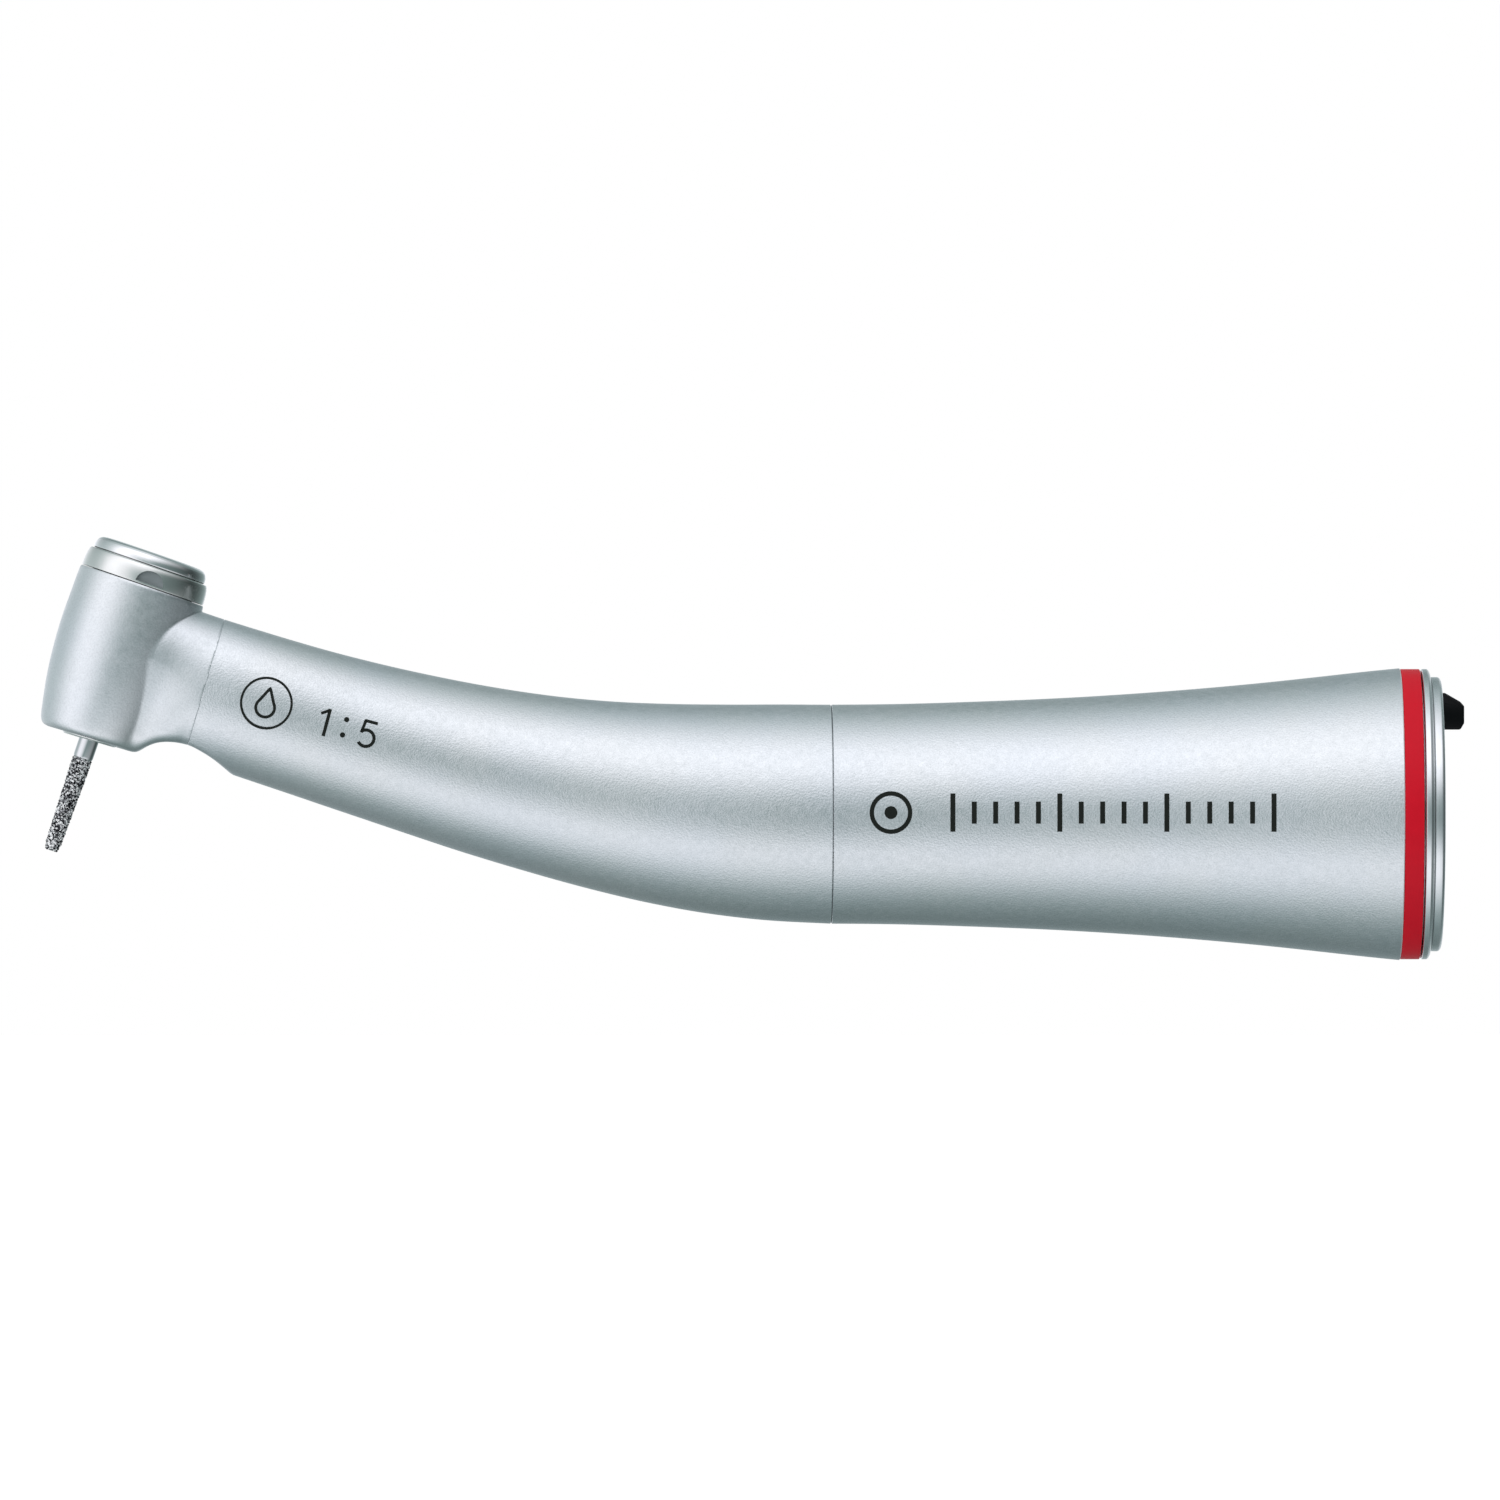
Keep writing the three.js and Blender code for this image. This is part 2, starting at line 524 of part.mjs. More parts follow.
// The shaft with its pinion, which runs inside the bell gear.
function midShaft() {
  const front = BEND_X + 0.7;
  const shaft = revolve([
    [front, 0], [front, THIN_SHAFT_R], [-48.4, THIN_SHAFT_R], [-45.9, THIN_SHAFT_R],
    [-45.8, 0.9], [-45.8, 0],
  ]);
  const pinion = toothOutline({
    count: PINION_TEETH, rootR: PINION_R - 0.28, tipR: PINION_R + 0.2,
    rootShare: 0.52, tipShare: 0.22, phase: Math.PI / 2,
  });
  return toMidAxis(join(shaft, extrude(pinion, -48.0, -46.1, "x")));
}
// A tube round the bearings, held in the neck by two discs.
function midBearingCarrier() {
  const discWidth = 1.0;
  let carrier = toMidAxis(bearingTube({
    front: -64.9, frontShoulder: -63.25, rearShoulder: -50.75, rear: -49.1, outerR: 2.8,
  }));
  for (const x of [-62.6, -51.6]) {
    const { z, halfHeight } = neckAt(x + discWidth / 2);
    const disc = rod(x, x + discWidth, halfHeight * 0.985 - WALL - 0.18, "x", FINE);
    const hole = toMidAxis(rod(x - 1, x + discWidth + 1, 2.1, "x", SMALL));
    carrier = join(carrier, cut(move(disc, 0, 0, z), hole));
  }
  return cut(carrier, ...passages);
}

// ---------------------------------------------------------------- front shaft, head frame
function frontShaft() {
  const rear = FRONT_BEND_X - 0.7;
  return revolve([
    [1.95, 0], [1.95, 0.8], [2.1, THIN_SHAFT_R], [rear, THIN_SHAFT_R], [rear, 0],
  ]);
}
// Turned to face +x, half a pitch out of step with the intermediate gear.
function frontKnuckleGear() {
  const halfTurn = new THREE.Matrix4().makeRotationZ(Math.PI).toArray();
  const gear = knuckleGear(Math.PI / BEND_TEETH).transform(halfTurn);
  return move(gear, FRONT_BEND_X, 0, 0);
}
function crownGear() {
  const boreR = THIN_SHAFT_R + FIT;
  const tipX = SPINDLE_GEAR_R - 0.17, rootX = SPINDLE_GEAR_R + 0.24;
  const backX = rootX + 0.22;
  const [innerR, outerR] = [CROWN_R - 0.28, CROWN_R + 0.2];
  const toothRing = faceGear({
    count: CROWN_TEETH, rootShare: 0.5, tipShare: 0.24, phase: Math.PI / CROWN_TEETH,
    sectionAt: (atTip) => {
      const faceX = atTip ? tipX : rootX;
      return [[faceX, innerR], [faceX, outerR], [backX, outerR], [backX, innerR]];
    },
  });
  const hub = revolve([
    [1.88, boreR], [1.88, CROWN_R - 0.2], [1.95, CROWN_R + 0.15], [2.2, CROWN_R + 0.15],
    [2.45, 2.2], [2.75, 1.35], [2.75, boreR],
  ], "x", FINE);
  return join(toothRing, hub);
}
// A tube round the bearings, with a collar in the head and a disc in the neck.
function frontShaftSleeve() {
  const tube = bearingTube({
    front: 2.9, frontShoulder: 4.4, rearShoulder: 20.55, rear: 22.2, outerR: 2.72,
  });
  const collar = ring(4.6, 5.5, 2.3, 3.22, "x", FINE);
  const disc = move(rod(13.4, 14.3, 4.12, "x", FINE), 0, 0, 0.38);
  const hole = rod(12, 16, 2.3, "x", SMALL);
  return cut(headToBarrel(join(tube, collar, cut(disc, hole))), ...passages);
}

// ---------------------------------------------------------------- head, round the bur axis
function spindle() {
  const tube = revolve([
    [-5.6, 1.05], [-5.6, 1.2], [-5.5, SPINDLE_R], [5.15, SPINDLE_R], [5.25, 1.2], [5.25, 1.05],
  ], "z");
  const outline = toothOutline({
    count: SPINDLE_TEETH, rootR: SPINDLE_GEAR_R - 0.24, tipR: SPINDLE_GEAR_R + 0.17,
    rootShare: 0.52, tipShare: 0.24, phase: 0,
  });
  const gear = extrude(outline, CROWN_R - 0.3, CROWN_R + 0.22, "z", [circle(1.1, SMALL)]);
  return join(tube, gear);
}
// A thin tube with three slots down from its upper end.
function chuckCollet() {
  const tube = revolve([
    [-4.6, 0.83], [-4.6, 0.95], [-4.5, 1.02], [3.45, 1.02], [3.45, 0.9], [3.3, 0.83],
  ], "z");
  const slots = [0, 1, 2].map((i) => toSolid(
    new THREE.BoxGeometry(1.4, 0.12, 4.2)
      .translate(0.7, 0, 1.6)
      .rotateZ((2 * Math.PI * i) / 3 + 0.3)));
  return cut(tube, ...slots);
}
const chuckPlunger = () => revolve([
  [3.95, 0], [3.95, 0.45], [4.5, 0.95], [5.75, 0.95], [5.85, 0.8], [5.85, 0],
], "z");
const diamondBur = () => revolve([
  [-13.58, 0], [-13.58, 0.3], [-13.45, 0.42], [-13.2, 0.46], [-7.05, 0.66], [-6.95, 0.6],
  [-6.2, 0.62], [-5.7, 0.69], [-5.35, 0.8], [3.2, 0.8], [3.3, 0.7], [3.3, 0],
], "z");
const damperRing = (z) => revolve([
  [z - 0.13, 2.84], [z - 0.13, 2.97], [z, 3.04], [z + 0.13, 2.97], [z + 0.13, 2.84], [z, 2.77],
], "z");
function capRing() {
  const body = revolve([
    [4.5, 3.12], [4.5, 3.56], [5.53, 3.56], [5.53, 4.34], [6.0, 4.33], [6.5, 4.27],
    [6.76, 4.2], [6.88, 4.08], [6.88, 3.93], [6.15, 3.93], [6.15, 3.35], [5.75, 3.35],
    [5.75, 1.6], [5.42, 1.6], [5.42, 3.12],
  ], "z", FINE);
  // Arched wrench pockets, one on each side.
  const pocket = { x: 0.28, z: 5.67, radius: 0.88, floor: 4.02 };
  const arch = Array.from({ length: 9 }, (_, i) => [
    pocket.x + pocket.radius * Math.cos((Math.PI * i) / 8),
    pocket.z + pocket.radius * Math.sin((Math.PI * i) / 8),
  ]);
  return cut(
    body, extrude(arch, -6, -pocket.floor, "y"), extrude(arch, pocket.floor, 6, "y"));
}
const pushButton = () => revolve([
  [6.1, 0], [6.1, 0.9], [6.95, 0.9], [6.95, 2.95], [6.4, 2.95], [6.4, 3.25], [6.95, 3.25],
  [6.95, 3.6], [6.8, 3.6], [6.8, 3.85], [7.5, 3.85], [7.68, 3.7], [7.78, 3.3], [7.82, 2.4],
  [7.82, 0],
], "z", FINE);
const buttonSpring = () => alongCurve(
  new Helix({ radius: 2.3, bottom: 5.92, top: 6.78, turns: 2.5 }),
  { radius: 0.13, sides: 5, steps: 36 });

// ================================================================ assembly
const handpiece = new THREE.Group();
const barrel = new THREE.Group(); // barrel frame
barrel.position.x = DOG_DEPTH;
handpiece.add(barrel);
const head = new THREE.Group(); // head frame
head.position.set(HEAD_X, 0, HEAD_Z);
head.rotation.y = HEAD_TILT;
barrel.add(head);

addPiece(barrel, "head_casing", headCasing(), TITANIUM);
addPiece(barrel, "neck_sheath", neckSheath(), TITANIUM);
addPiece(barrel, "rear_sheath", revolve([...REAR_OUTER, ...REAR_INNER], "x", FINE), TITANIUM);
addPiece(barrel, "joint_sleeve", ring(-44.0, -39.4, 6.2, 6.58, "x", FINE), STEEL);

addPiece(barrel, "rear_frame", rearFrame(), STEEL);
addPiece(barrel, "locating_peg", locatingPeg(), BLACK);
addPiece(barrel, "colour_ring", colourRing(), RED);
addPiece(barrel, "end_ring", endRing(), POLISHED);

addPiece(barrel, "bell_gear", bellGear(), GEAR);
addPiece(barrel, "drive_shaft", driveShaft(), STEEL);
addPiece(barrel, "drive_dog", driveDog(), STEEL);
addBearing(barrel, "drive_front_bearing", "x", -42.5, DRIVE_BEARING);
addBearing(barrel, "drive_rear_bearing", "x", -27.1, DRIVE_BEARING);

addPiece(barrel, "mid_shaft", midShaft(), STEEL);
addPiece(barrel, "mid_knuckle_gear", move(knuckleGear(0), BEND_X, 0, MID_Z), GEAR);
addBearing(barrel, "mid_front_bearing", "x", -64.7, THIN_BEARING, toMidAxis);
addBearing(barrel, "mid_rear_bearing", "x", -50.6, THIN_BEARING, toMidAxis);
addPiece(barrel, "mid_bearing_carrier", midBearingCarrier(), TITANIUM);

addPiece(head, "front_shaft", frontShaft(), STEEL);
addPiece(head, "front_knuckle_gear", frontKnuckleGear(), GEAR);
addPiece(head, "crown_gear", crownGear(), GEAR);
addBearing(head, "front_shaft_front_bearing", "x", 2.95, THIN_BEARING);
addBearing(head, "front_shaft_rear_bearing", "x", 20.7, THIN_BEARING);
addPiece(barrel, "front_shaft_sleeve", frontShaftSleeve(), TITANIUM);

addPiece(barrel, "light_guide", lightGuide(), GLASS);
addPiece(barrel, "water_tube", sprayTube(tubeRoutes[0]), STEEL);
addPiece(barrel, "air_tube", sprayTube(tubeRoutes[1]), STEEL);

addPiece(head, "spindle", spindle(), STEEL);
addPiece(head, "chuck_collet", chuckCollet(), STEEL);
addPiece(head, "chuck_plunger", chuckPlunger(), STEEL);
addPiece(head, "diamond_bur", diamondBur(), DIAMOND);
addBearing(head, "head_upper_bearing", "z", 3.36, HEAD_BEARING);
addBearing(head, "head_lower_bearing", "z", -5.12, HEAD_BEARING);
addPiece(head, "upper_damper_ring", damperRing(4.1), RUBBER);
addPiece(head, "lower_damper_ring", damperRing(-4.3), RUBBER);
addPiece(head, "preload_washer", ring(5.1, 5.32, 2.0, 2.9, "z", SMALL), STEEL);
addPiece(head, "nozzle_ring", ring(-5.9, -5.2, 1.42, 1.93, "z", SMALL), POLISHED);
addPiece(head, "cap_ring", capRing(), POLISHED);
addPiece(head, "push_button", pushButton(), POLISHED);
addPiece(head, "button_spring", buttonSpring(), STEEL);

export default handpiece;
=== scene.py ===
# Contra-angle handpiece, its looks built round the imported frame.
# The barrel lies along X with its coupling end at +X. At -X the neck bends up to the tilted head,
# and the bur points down from the head. The camera looks from -Y.
# Lengths are in millimetres until new_object(), apart from materials and stage, which use metres.
#
# Three frames are used:
#   row frame     the scene's own
#   barrel frame  the row frame moved along X by BARREL_SHIFT
#   head frame    origin at the head's centre, z up the bur's spindle, x towards the neck
import json
import math

import bmesh
import bpy
import numpy as np
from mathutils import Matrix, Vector


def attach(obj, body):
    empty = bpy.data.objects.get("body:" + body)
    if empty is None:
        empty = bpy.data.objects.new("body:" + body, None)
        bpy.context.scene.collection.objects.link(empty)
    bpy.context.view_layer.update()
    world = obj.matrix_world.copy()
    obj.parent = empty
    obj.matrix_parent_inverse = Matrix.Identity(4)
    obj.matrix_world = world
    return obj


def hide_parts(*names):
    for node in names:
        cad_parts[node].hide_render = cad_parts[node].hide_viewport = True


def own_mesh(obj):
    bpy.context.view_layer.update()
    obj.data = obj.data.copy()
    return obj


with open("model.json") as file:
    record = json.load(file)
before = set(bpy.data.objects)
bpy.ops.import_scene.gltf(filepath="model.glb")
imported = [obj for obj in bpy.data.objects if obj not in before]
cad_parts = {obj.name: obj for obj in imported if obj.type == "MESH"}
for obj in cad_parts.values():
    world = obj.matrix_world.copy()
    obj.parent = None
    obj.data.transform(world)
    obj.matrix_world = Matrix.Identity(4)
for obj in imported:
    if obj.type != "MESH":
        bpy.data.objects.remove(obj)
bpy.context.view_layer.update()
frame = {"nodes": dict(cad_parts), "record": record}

MM = 0.001
BARREL_SHIFT = 18.0
HEAD_TILT = math.radians(19.0)
HEAD_X, HEAD_Z = -90.34, 10.38  # head centre in the barrel frame
TILT_COS, TILT_SIN = math.cos(HEAD_TILT), math.sin(HEAD_TILT)
SPINDLE_AXIS = (TILT_SIN, 0, TILT_COS)
FRONT_AXIS = (TILT_COS, 0, -TILT_SIN)
ROOT = "handpiece_body"


# ------------------------------------------------------------------ frames
def from_barrel(points):
    return np.asarray(points, float) + np.array([BARREL_SHIFT, 0, 0])


def from_head(points):
    x, y, z = np.asarray(points, float).T
    barrel_x = HEAD_X + x * TILT_COS + z * TILT_SIN
    barrel_z = HEAD_Z - x * TILT_SIN + z * TILT_COS
    return from_barrel(np.stack([barrel_x, y, barrel_z], 1))


def to_head(x, z):
    """Barrel frame x, z to head frame x, z."""
    across, up = x - HEAD_X, z - HEAD_Z
    return across * TILT_COS - up * TILT_SIN, across * TILT_SIN + up * TILT_COS


def row_to_head(points):
    """Head frame x, z of row frame points."""
    return to_head(points[:, 0] - BARREL_SHIFT, points[:, 2])


# ------------------------------------------------------------------ curves
def locate(xs, x):
    """x held within the knots xs, and the span each value falls in."""
    x = np.clip(np.asarray(x, float), xs[0], xs[-1])
    return x, np.clip(np.searchsorted(xs, x, side="right") - 1, 0, len(xs) - 2)


def pchip(xs, ys):
    """Cubic through the points that never overshoots them."""
    gap = np.diff(xs)
    rise = np.diff(ys) / gap
    slope = np.zeros(len(xs))
    for i in range(1, len(xs) - 1):
        if rise[i - 1] * rise[i] > 0:
            before, after = 2 * gap[i] + gap[i - 1], gap[i] + 2 * gap[i - 1]
            slope[i] = (before + after) / (before / rise[i - 1] + after / rise[i])
    slope[0], slope[-1] = rise[0], rise[-1]

    def curve(x):
        x, k = locate(xs, x)
        t = (x - xs[k]) / gap[k]
        t2, t3 = t * t, t * t * t
        start = (2 * t3 - 3 * t2 + 1) * ys[k] + (t3 - 2 * t2 + t) * gap[k] * slope[k]
        return start + (-2 * t3 + 3 * t2) * ys[k + 1] + (t3 - t2) * gap[k] * slope[k + 1]

    return curve


def spline(xs, ys):
    """Natural cubic through the points."""
    count = len(xs)
    gap = np.diff(xs)
    matrix = np.zeros((count, count))
    right = np.zeros(count)
    matrix[0, 0] = matrix[-1, -1] = 1
    for i in range(1, count - 1):
        matrix[i, i - 1 : i + 2] = gap[i - 1], 2 * (gap[i - 1] + gap[i]), gap[i]
        right[i] = 6 * ((ys[i + 1] - ys[i]) / gap[i] - (ys[i] - ys[i - 1]) / gap[i - 1])
    bend = np.linalg.solve(matrix, right)

    def curve(x):
        x, k = locate(xs, x)
        ahead, behind, span = xs[k + 1] - x, x - xs[k], gap[k]
        return ((bend[k] * ahead**3 + bend[k + 1] * behind**3) / (6 * span)
                + (ys[k] / span - bend[k] * span / 6) * ahead
                + (ys[k + 1] / span - bend[k + 1] * span / 6) * behind)

    return curve


def smooth(t):
    t = np.clip(t, 0, 1)
    return t * t * (3 - 2 * t)


def soft_min(first, second, width):
    share = np.clip(0.5 + 0.5 * (second - first) / width, 0, 1)
    return second * (1 - share) + first * share - width * share * (1 - share)


def soft_max(first, second, width):
    return -soft_min(-first, -second, width)


def bisect(low, high, inside, rounds):
    """Halves each low..high span towards the edge of inside(value)."""
    for _ in range(rounds):
        middle = (low + high) / 2
        fits = inside(middle)
        low, high = np.where(fits, middle, low), np.where(fits, high, middle)
    return (low + high) / 2


# ------------------------------------------------------------------ shader helpers
def feed(tree, socket, value):
    """Links a socket to another socket, or sets it to a plain value."""
    if isinstance(value, bpy.types.NodeSocket):
        tree.links.new(value, socket)
    else:
        socket.default_value = value


def set_inputs(tree, node, **values):
    """Feeds inputs by name, with an underscore for each space."""
    for name, value in values.items():
        feed(tree, node.inputs[name.replace("_", " ")], value)


def add(tree, kind, *values, **settings):
    """New shader node. values feed its inputs in order; capitalised settings feed inputs by
    name, and the others are properties of the node."""
    node = tree.nodes.new("ShaderNode" + kind)
    for name, value in settings.items():
        if name[0].islower():
            setattr(node, name, value)
    for socket, value in zip(node.inputs, values):
        feed(tree, socket, value)
    set_inputs(tree, node, **{k: v for k, v in settings.items() if k[0].isupper()})
    return node


def calc(tree, operation, *values):
    return add(tree, "Math", *values, operation=operation).outputs[0]


def new_material(name):
    material = bpy.data.materials.new(name)
    material.use_nodes = True
    return material, material.node_tree, material.node_tree.nodes["Principled BSDF"]


def coords(tree):
    """Object coordinates in millimetres."""
    source = add(tree, "TexCoord")
    return add(tree, "Mapping", Vector=source.outputs["Object"],
               Scale=(1000, 1000, 1000)).outputs["Vector"]


def ramp(tree, fac, stops):
    """Colour ramp through stops of (position, rgb)."""
    node = add(tree, "ValToRGB")
    elements = node.color_ramp.elements
    while len(elements) < len(stops):
        elements.new(0.5)
    for element, (position, colour) in zip(elements, stops):
        element.position = position
        element.color = (*colour, 1)
    feed(tree, node.inputs["Fac"], fac)
    return node.outputs["Color"]


def remap(tree, value, low, high, source=(0.3, 0.7)):
    """Stretches the source range to low..high."""
    return add(tree, "MapRange", Value=value, From_Min=source[0], From_Max=source[1],
               To_Min=low, To_Max=high).outputs["Result"]


def bump(tree, height, strength, distance):
    """Surface normal from a height; distance in metres."""
    node = add(tree, "Bump", Strength=strength, Distance=distance, Height=height)
    return node.outputs["Normal"]


def scaled(colour, factor):
    return tuple(min(1, c * factor) for c in colour)


def grey(level):
    return (level,) * 3


# ------------------------------------------------------------------ materials
def satin(name, grain):
    """Coated titanium: a fine bead-blasted skin with soft sparkle. grain scales its bump."""
    colour, rough = (0.74, 0.765, 0.775), 0.4
    material, tree, bsdf = new_material(name)
    where = coords(tree)
    fine = add(tree, "TexNoise", Vector=where, Scale=9.0, Detail=3.0, Roughness=0.65)
    mid = add(tree, "TexNoise", Vector=where, Scale=2.2, Detail=4.0, Roughness=0.6)
    wide = add(tree, "TexNoise", Vector=where, Scale=0.12, Detail=2.0)
    pits = add(tree, "TexVoronoi", Vector=where, Scale=7.5)
    base = ramp(tree, fine.outputs["Fac"],
                [(0.32, scaled(colour, 0.90)), (0.5, colour), (0.7, scaled(colour, 1.06))])
    tint = ramp(tree, wide.outputs["Fac"], [(0.35, (0.985, 0.995, 1.0)), (0.65, (1.0, 1.0, 0.985))])
    mix = add(tree, "MixRGB", 1.0, base, tint, blend_type="MULTIPLY")
    roughness = remap(tree, mid.outputs["Fac"], low=rough - 0.05, high=rough + 0.06)
    height = calc(tree, "MULTIPLY_ADD", fine.outputs["Fac"], 0.6, pits.outputs["Distance"])
    normal = bump(tree, height, strength=0.75 * grain, distance=0.000013)
    set_inputs(tree, bsdf, Base_Color=mix.outputs[0], Roughness=roughness, Metallic=1.0,
               Normal=normal)
    return material


def polished(name, colour, rough, lines, along=(1, 0, 0), strength=0.2):
    """Turned and polished steel. Faint turning lines, as fine as lines says, run round the axis
    along, and strength is their bump."""
    centre = (0, 0, 0) if along[0] == 1 else ((HEAD_X + BARREL_SHIFT) * MM, 0, HEAD_Z * MM)
    axis = tuple(1000 * a for a in along)
    material, tree, bsdf = new_material(name)
    where = add(tree, "TexCoord").outputs["Object"]
    depth = add(tree, "VectorMath", where, axis, operation="DOT_PRODUCT")
    offset = add(tree, "VectorMath", where, centre, operation="SUBTRACT")
    arm = add(tree, "VectorMath", offset.outputs[0], axis, operation="CROSS_PRODUCT")
    radius = add(tree, "VectorMath", arm.outputs[0], operation="LENGTH")
    travel = calc(tree, "ADD", depth.outputs["Value"], radius.outputs["Value"])
    turning = add(tree, "TexNoise", noise_dimensions="1D", W=travel, Scale=lines / 4, Detail=6.0,
                  Roughness=0.7)
    cloud = add(tree, "TexNoise", Vector=coords(tree), Scale=1.1, Detail=5.0)
    base = ramp(tree, cloud.outputs["Fac"],
                [(0.3, scaled(colour, 0.965)), (0.7, scaled(colour, 1.02))])
    roughness = remap(tree, turning.outputs["Fac"], low=rough * 0.8, high=rough * 1.3)
    normal = bump(tree, turning.outputs["Fac"], strength=strength, distance=0.00001)
    set_inputs(tree, bsdf, Base_Color=base, Roughness=roughness, Metallic=1.0, Normal=normal)
    return material


def moulded(name, colour, rough, metallic=0.0, speck=0.04, specular=0.5):
    """Even skin; speck is how far its colour drifts either way."""
    material, tree, bsdf = new_material(name)
    where = coords(tree)
    cloud = add(tree, "TexNoise", Vector=where, Scale=1.6, Detail=6.0, Roughness=0.6)
    fine = add(tree, "TexNoise", Vector=where, Scale=14.0, Detail=2.0)
    base = ramp(tree, cloud.outputs["Fac"],
                [(0.3, scaled(colour, 1 - speck)), (0.7, scaled(colour, 1 + speck))])
    roughness = remap(tree, cloud.outputs["Fac"], low=rough - 0.04, high=rough + 0.05,
                      source=(0, 1))
    normal = bump(tree, fine.outputs["Fac"], strength=0.12, distance=0.000008)
    set_inputs(tree, bsdf, Base_Color=base, Roughness=roughness, Metallic=metallic,
               Specular_IOR_Level=specular, Coat_Roughness=0.08, Normal=normal)
    return material


def grit(name):
    """Diamond crystals in a nickel bond: a different grey and gloss on each grain."""
    material, tree, bsdf = new_material(name)
    where = coords(tree)
    grains = add(tree, "TexVoronoi", Vector=where, Scale=9.0)
    noise = add(tree, "TexNoise", Vector=where, Scale=20.0, Detail=3.0)
    base = ramp(tree, grains.outputs["Color"],
                [(0.3, (0.012, 0.012, 0.014)), (0.45, (0.06, 0.06, 0.066)),
                 (0.56, (0.42, 0.42, 0.43)), (0.68, (1.0, 1.0, 0.98))])
    roughness = ramp(tree, noise.outputs["Fac"], [(0.35, grey(0.12)), (0.65, grey(0.55))])
    normal = bump(tree, noise.outputs["Fac"], strength=0.7, distance=0.00003)
    set_inputs(tree, bsdf, Base_Color=base, Roughness=roughness, Metallic=0.75, Normal=normal)
    return material


def glass(name):
    material, tree, bsdf = new_material(name)
    noise = add(tree, "TexNoise", Vector=coords(tree), Scale=6.0, Detail=3.0)
    roughness = ramp(tree, noise.outputs["Fac"], [(0.3, grey(0.03)), (0.7, grey(0.12))])
    set_inputs(tree, bsdf, Base_Color=(0.86, 0.93, 0.95, 1), Roughness=roughness,
               Transmission_Weight=0.55, IOR=1.5)
    return material


TITANIUM = satin("satin_titanium", grain=1.0)
HEAD_SKIN = satin("satin_titanium_head", grain=0.5)
CAP_METAL = polished("polished_head", colour=(0.75, 0.76, 0.73), rough=0.19, lines=80,
                     along=SPINDLE_AXIS, strength=0.05)
BUTTON = polished("polished_button", colour=(0.8, 0.81, 0.8), rough=0.16, lines=50,
                  along=SPINDLE_AXIS, strength=0.12)
END_METAL = polished("turned_end", colour=(0.79, 0.81, 0.81), rough=0.27, lines=60, strength=0.15)
STEEL = (0.66, 0.67, 0.68)
TURNED = {  # by lathe axis
    "barrel": polished("turned_steel", colour=STEEL, rough=0.28, lines=40),
    "spindle": polished("turned_steel_head", colour=STEEL, rough=0.24, lines=40,
                        along=SPINDLE_AXIS),
    "front": polished("turned_steel_front", colour=STEEL, rough=0.26, lines=40, along=FRONT_AXIS),
}
GEAR = polished("ground_gear_steel", colour=(0.6, 0.57, 0.52), rough=0.3, lines=30)
SHANK = polished("polished_shank", colour=(0.66, 0.67, 0.67), rough=0.05, lines=60,
                 along=SPINDLE_AXIS, strength=0.05)
RED = moulded("signal_red", colour=(0.66, 0.006, 0.02), rough=0.42, speck=0.03, specular=0.12)
BLACK = moulded("gloss_black", colour=(0.0025, 0.0025, 0.003), rough=0.3, speck=0.1, specular=0.16)
RUBBER = moulded("matt_rubber", colour=(0.02, 0.018, 0.017), rough=0.75)
CERAMIC = moulded("ceramic_white", colour=(0.82, 0.8, 0.76), rough=0.2)
SPRING = polished("spring_wire", colour=(0.5, 0.51, 0.52), rough=0.3, lines=30,
                  along=SPINDLE_AXIS, strength=0.1)
MARK = moulded("laser_mark", colour=(0.012, 0.015, 0.012), rough=0.6, speck=0.1, specular=0.12)
# Painted shade: a darker grey given to the flat floors of the cap ring's side pockets, in place of
# the shade that falls in those recesses.
SHADE = moulded("painted_shade_pocket", colour=(0.24, 0.27, 0.27), rough=0.6, metallic=0.3, speck=0.06,
                specular=0.3)
# Painted highlight: a pale, mostly non-metal grey on the rear sheath's lip, standing in for a
# bright line of reflected light along that edge.
PAINTED_EDGE_HIGHLIGHT = moulded("painted_highlight_edge", colour=(0.9, 0.88, 0.88), rough=0.5, metallic=0.2)
DIAMOND = grit("diamond_grit")
GLASS = glass("fused_glass")

SLOT_MATERIAL = {
    "satin_titanium": TITANIUM, "polished_steel": CAP_METAL, "turned_steel": TURNED["barrel"],
    "gear_steel": GEAR, "red_ring": RED, "black_peg": BLACK, "rubber": RUBBER,
    "light_glass": GLASS, "diamond_grit": DIAMOND, "ceramic": CERAMIC, "spring_steel": SPRING,
}
NODE_SLOT = {part["node"]: part["material_slot"] for part in frame["record"]["subparts"]}
for node_name, node_object in frame["nodes"].items():
    node_object.data.materials.clear()
    node_object.data.materials.append(SLOT_MATERIAL[NODE_SLOT[node_name]])


# ------------------------------------------------------------------ mesh builders
def new_object(name, verts, faces, weld=False):
    """Linked object with outward normals, from verts in mm in the row frame."""
    mesh = bpy.data.meshes.new(name)
    mesh.from_pydata((np.asarray(verts) * MM).tolist(), [], faces)
    if weld:
        mesh.validate()
    work = bmesh.new()
    work.from_mesh(mesh)
    if weld:
        bmesh.ops.remove_doubles(work, verts=work.verts, dist=2e-7)
    bmesh.ops.recalc_face_normals(work, faces=work.faces)
    work.to_mesh(mesh)
    work.free()
    obj = bpy.data.objects.new(name, mesh)
    bpy.context.scene.collection.objects.link(obj)
    return obj


def register(obj, material, body, slot, node=None):
    """Gives obj its material, the body it rides and the frame node it replaces; slot is not used.
    """
    obj.data.materials.append(material)
    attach(obj, body)
    if node:
        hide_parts(node)


def shade_smooth(mesh, angle):
    """Smooth faces, with sharp edges past angle degrees."""
    mesh.polygons.foreach_set("use_smooth", [True] * len(mesh.polygons))
    mesh.set_sharp_from_angle(angle=math.radians(angle))


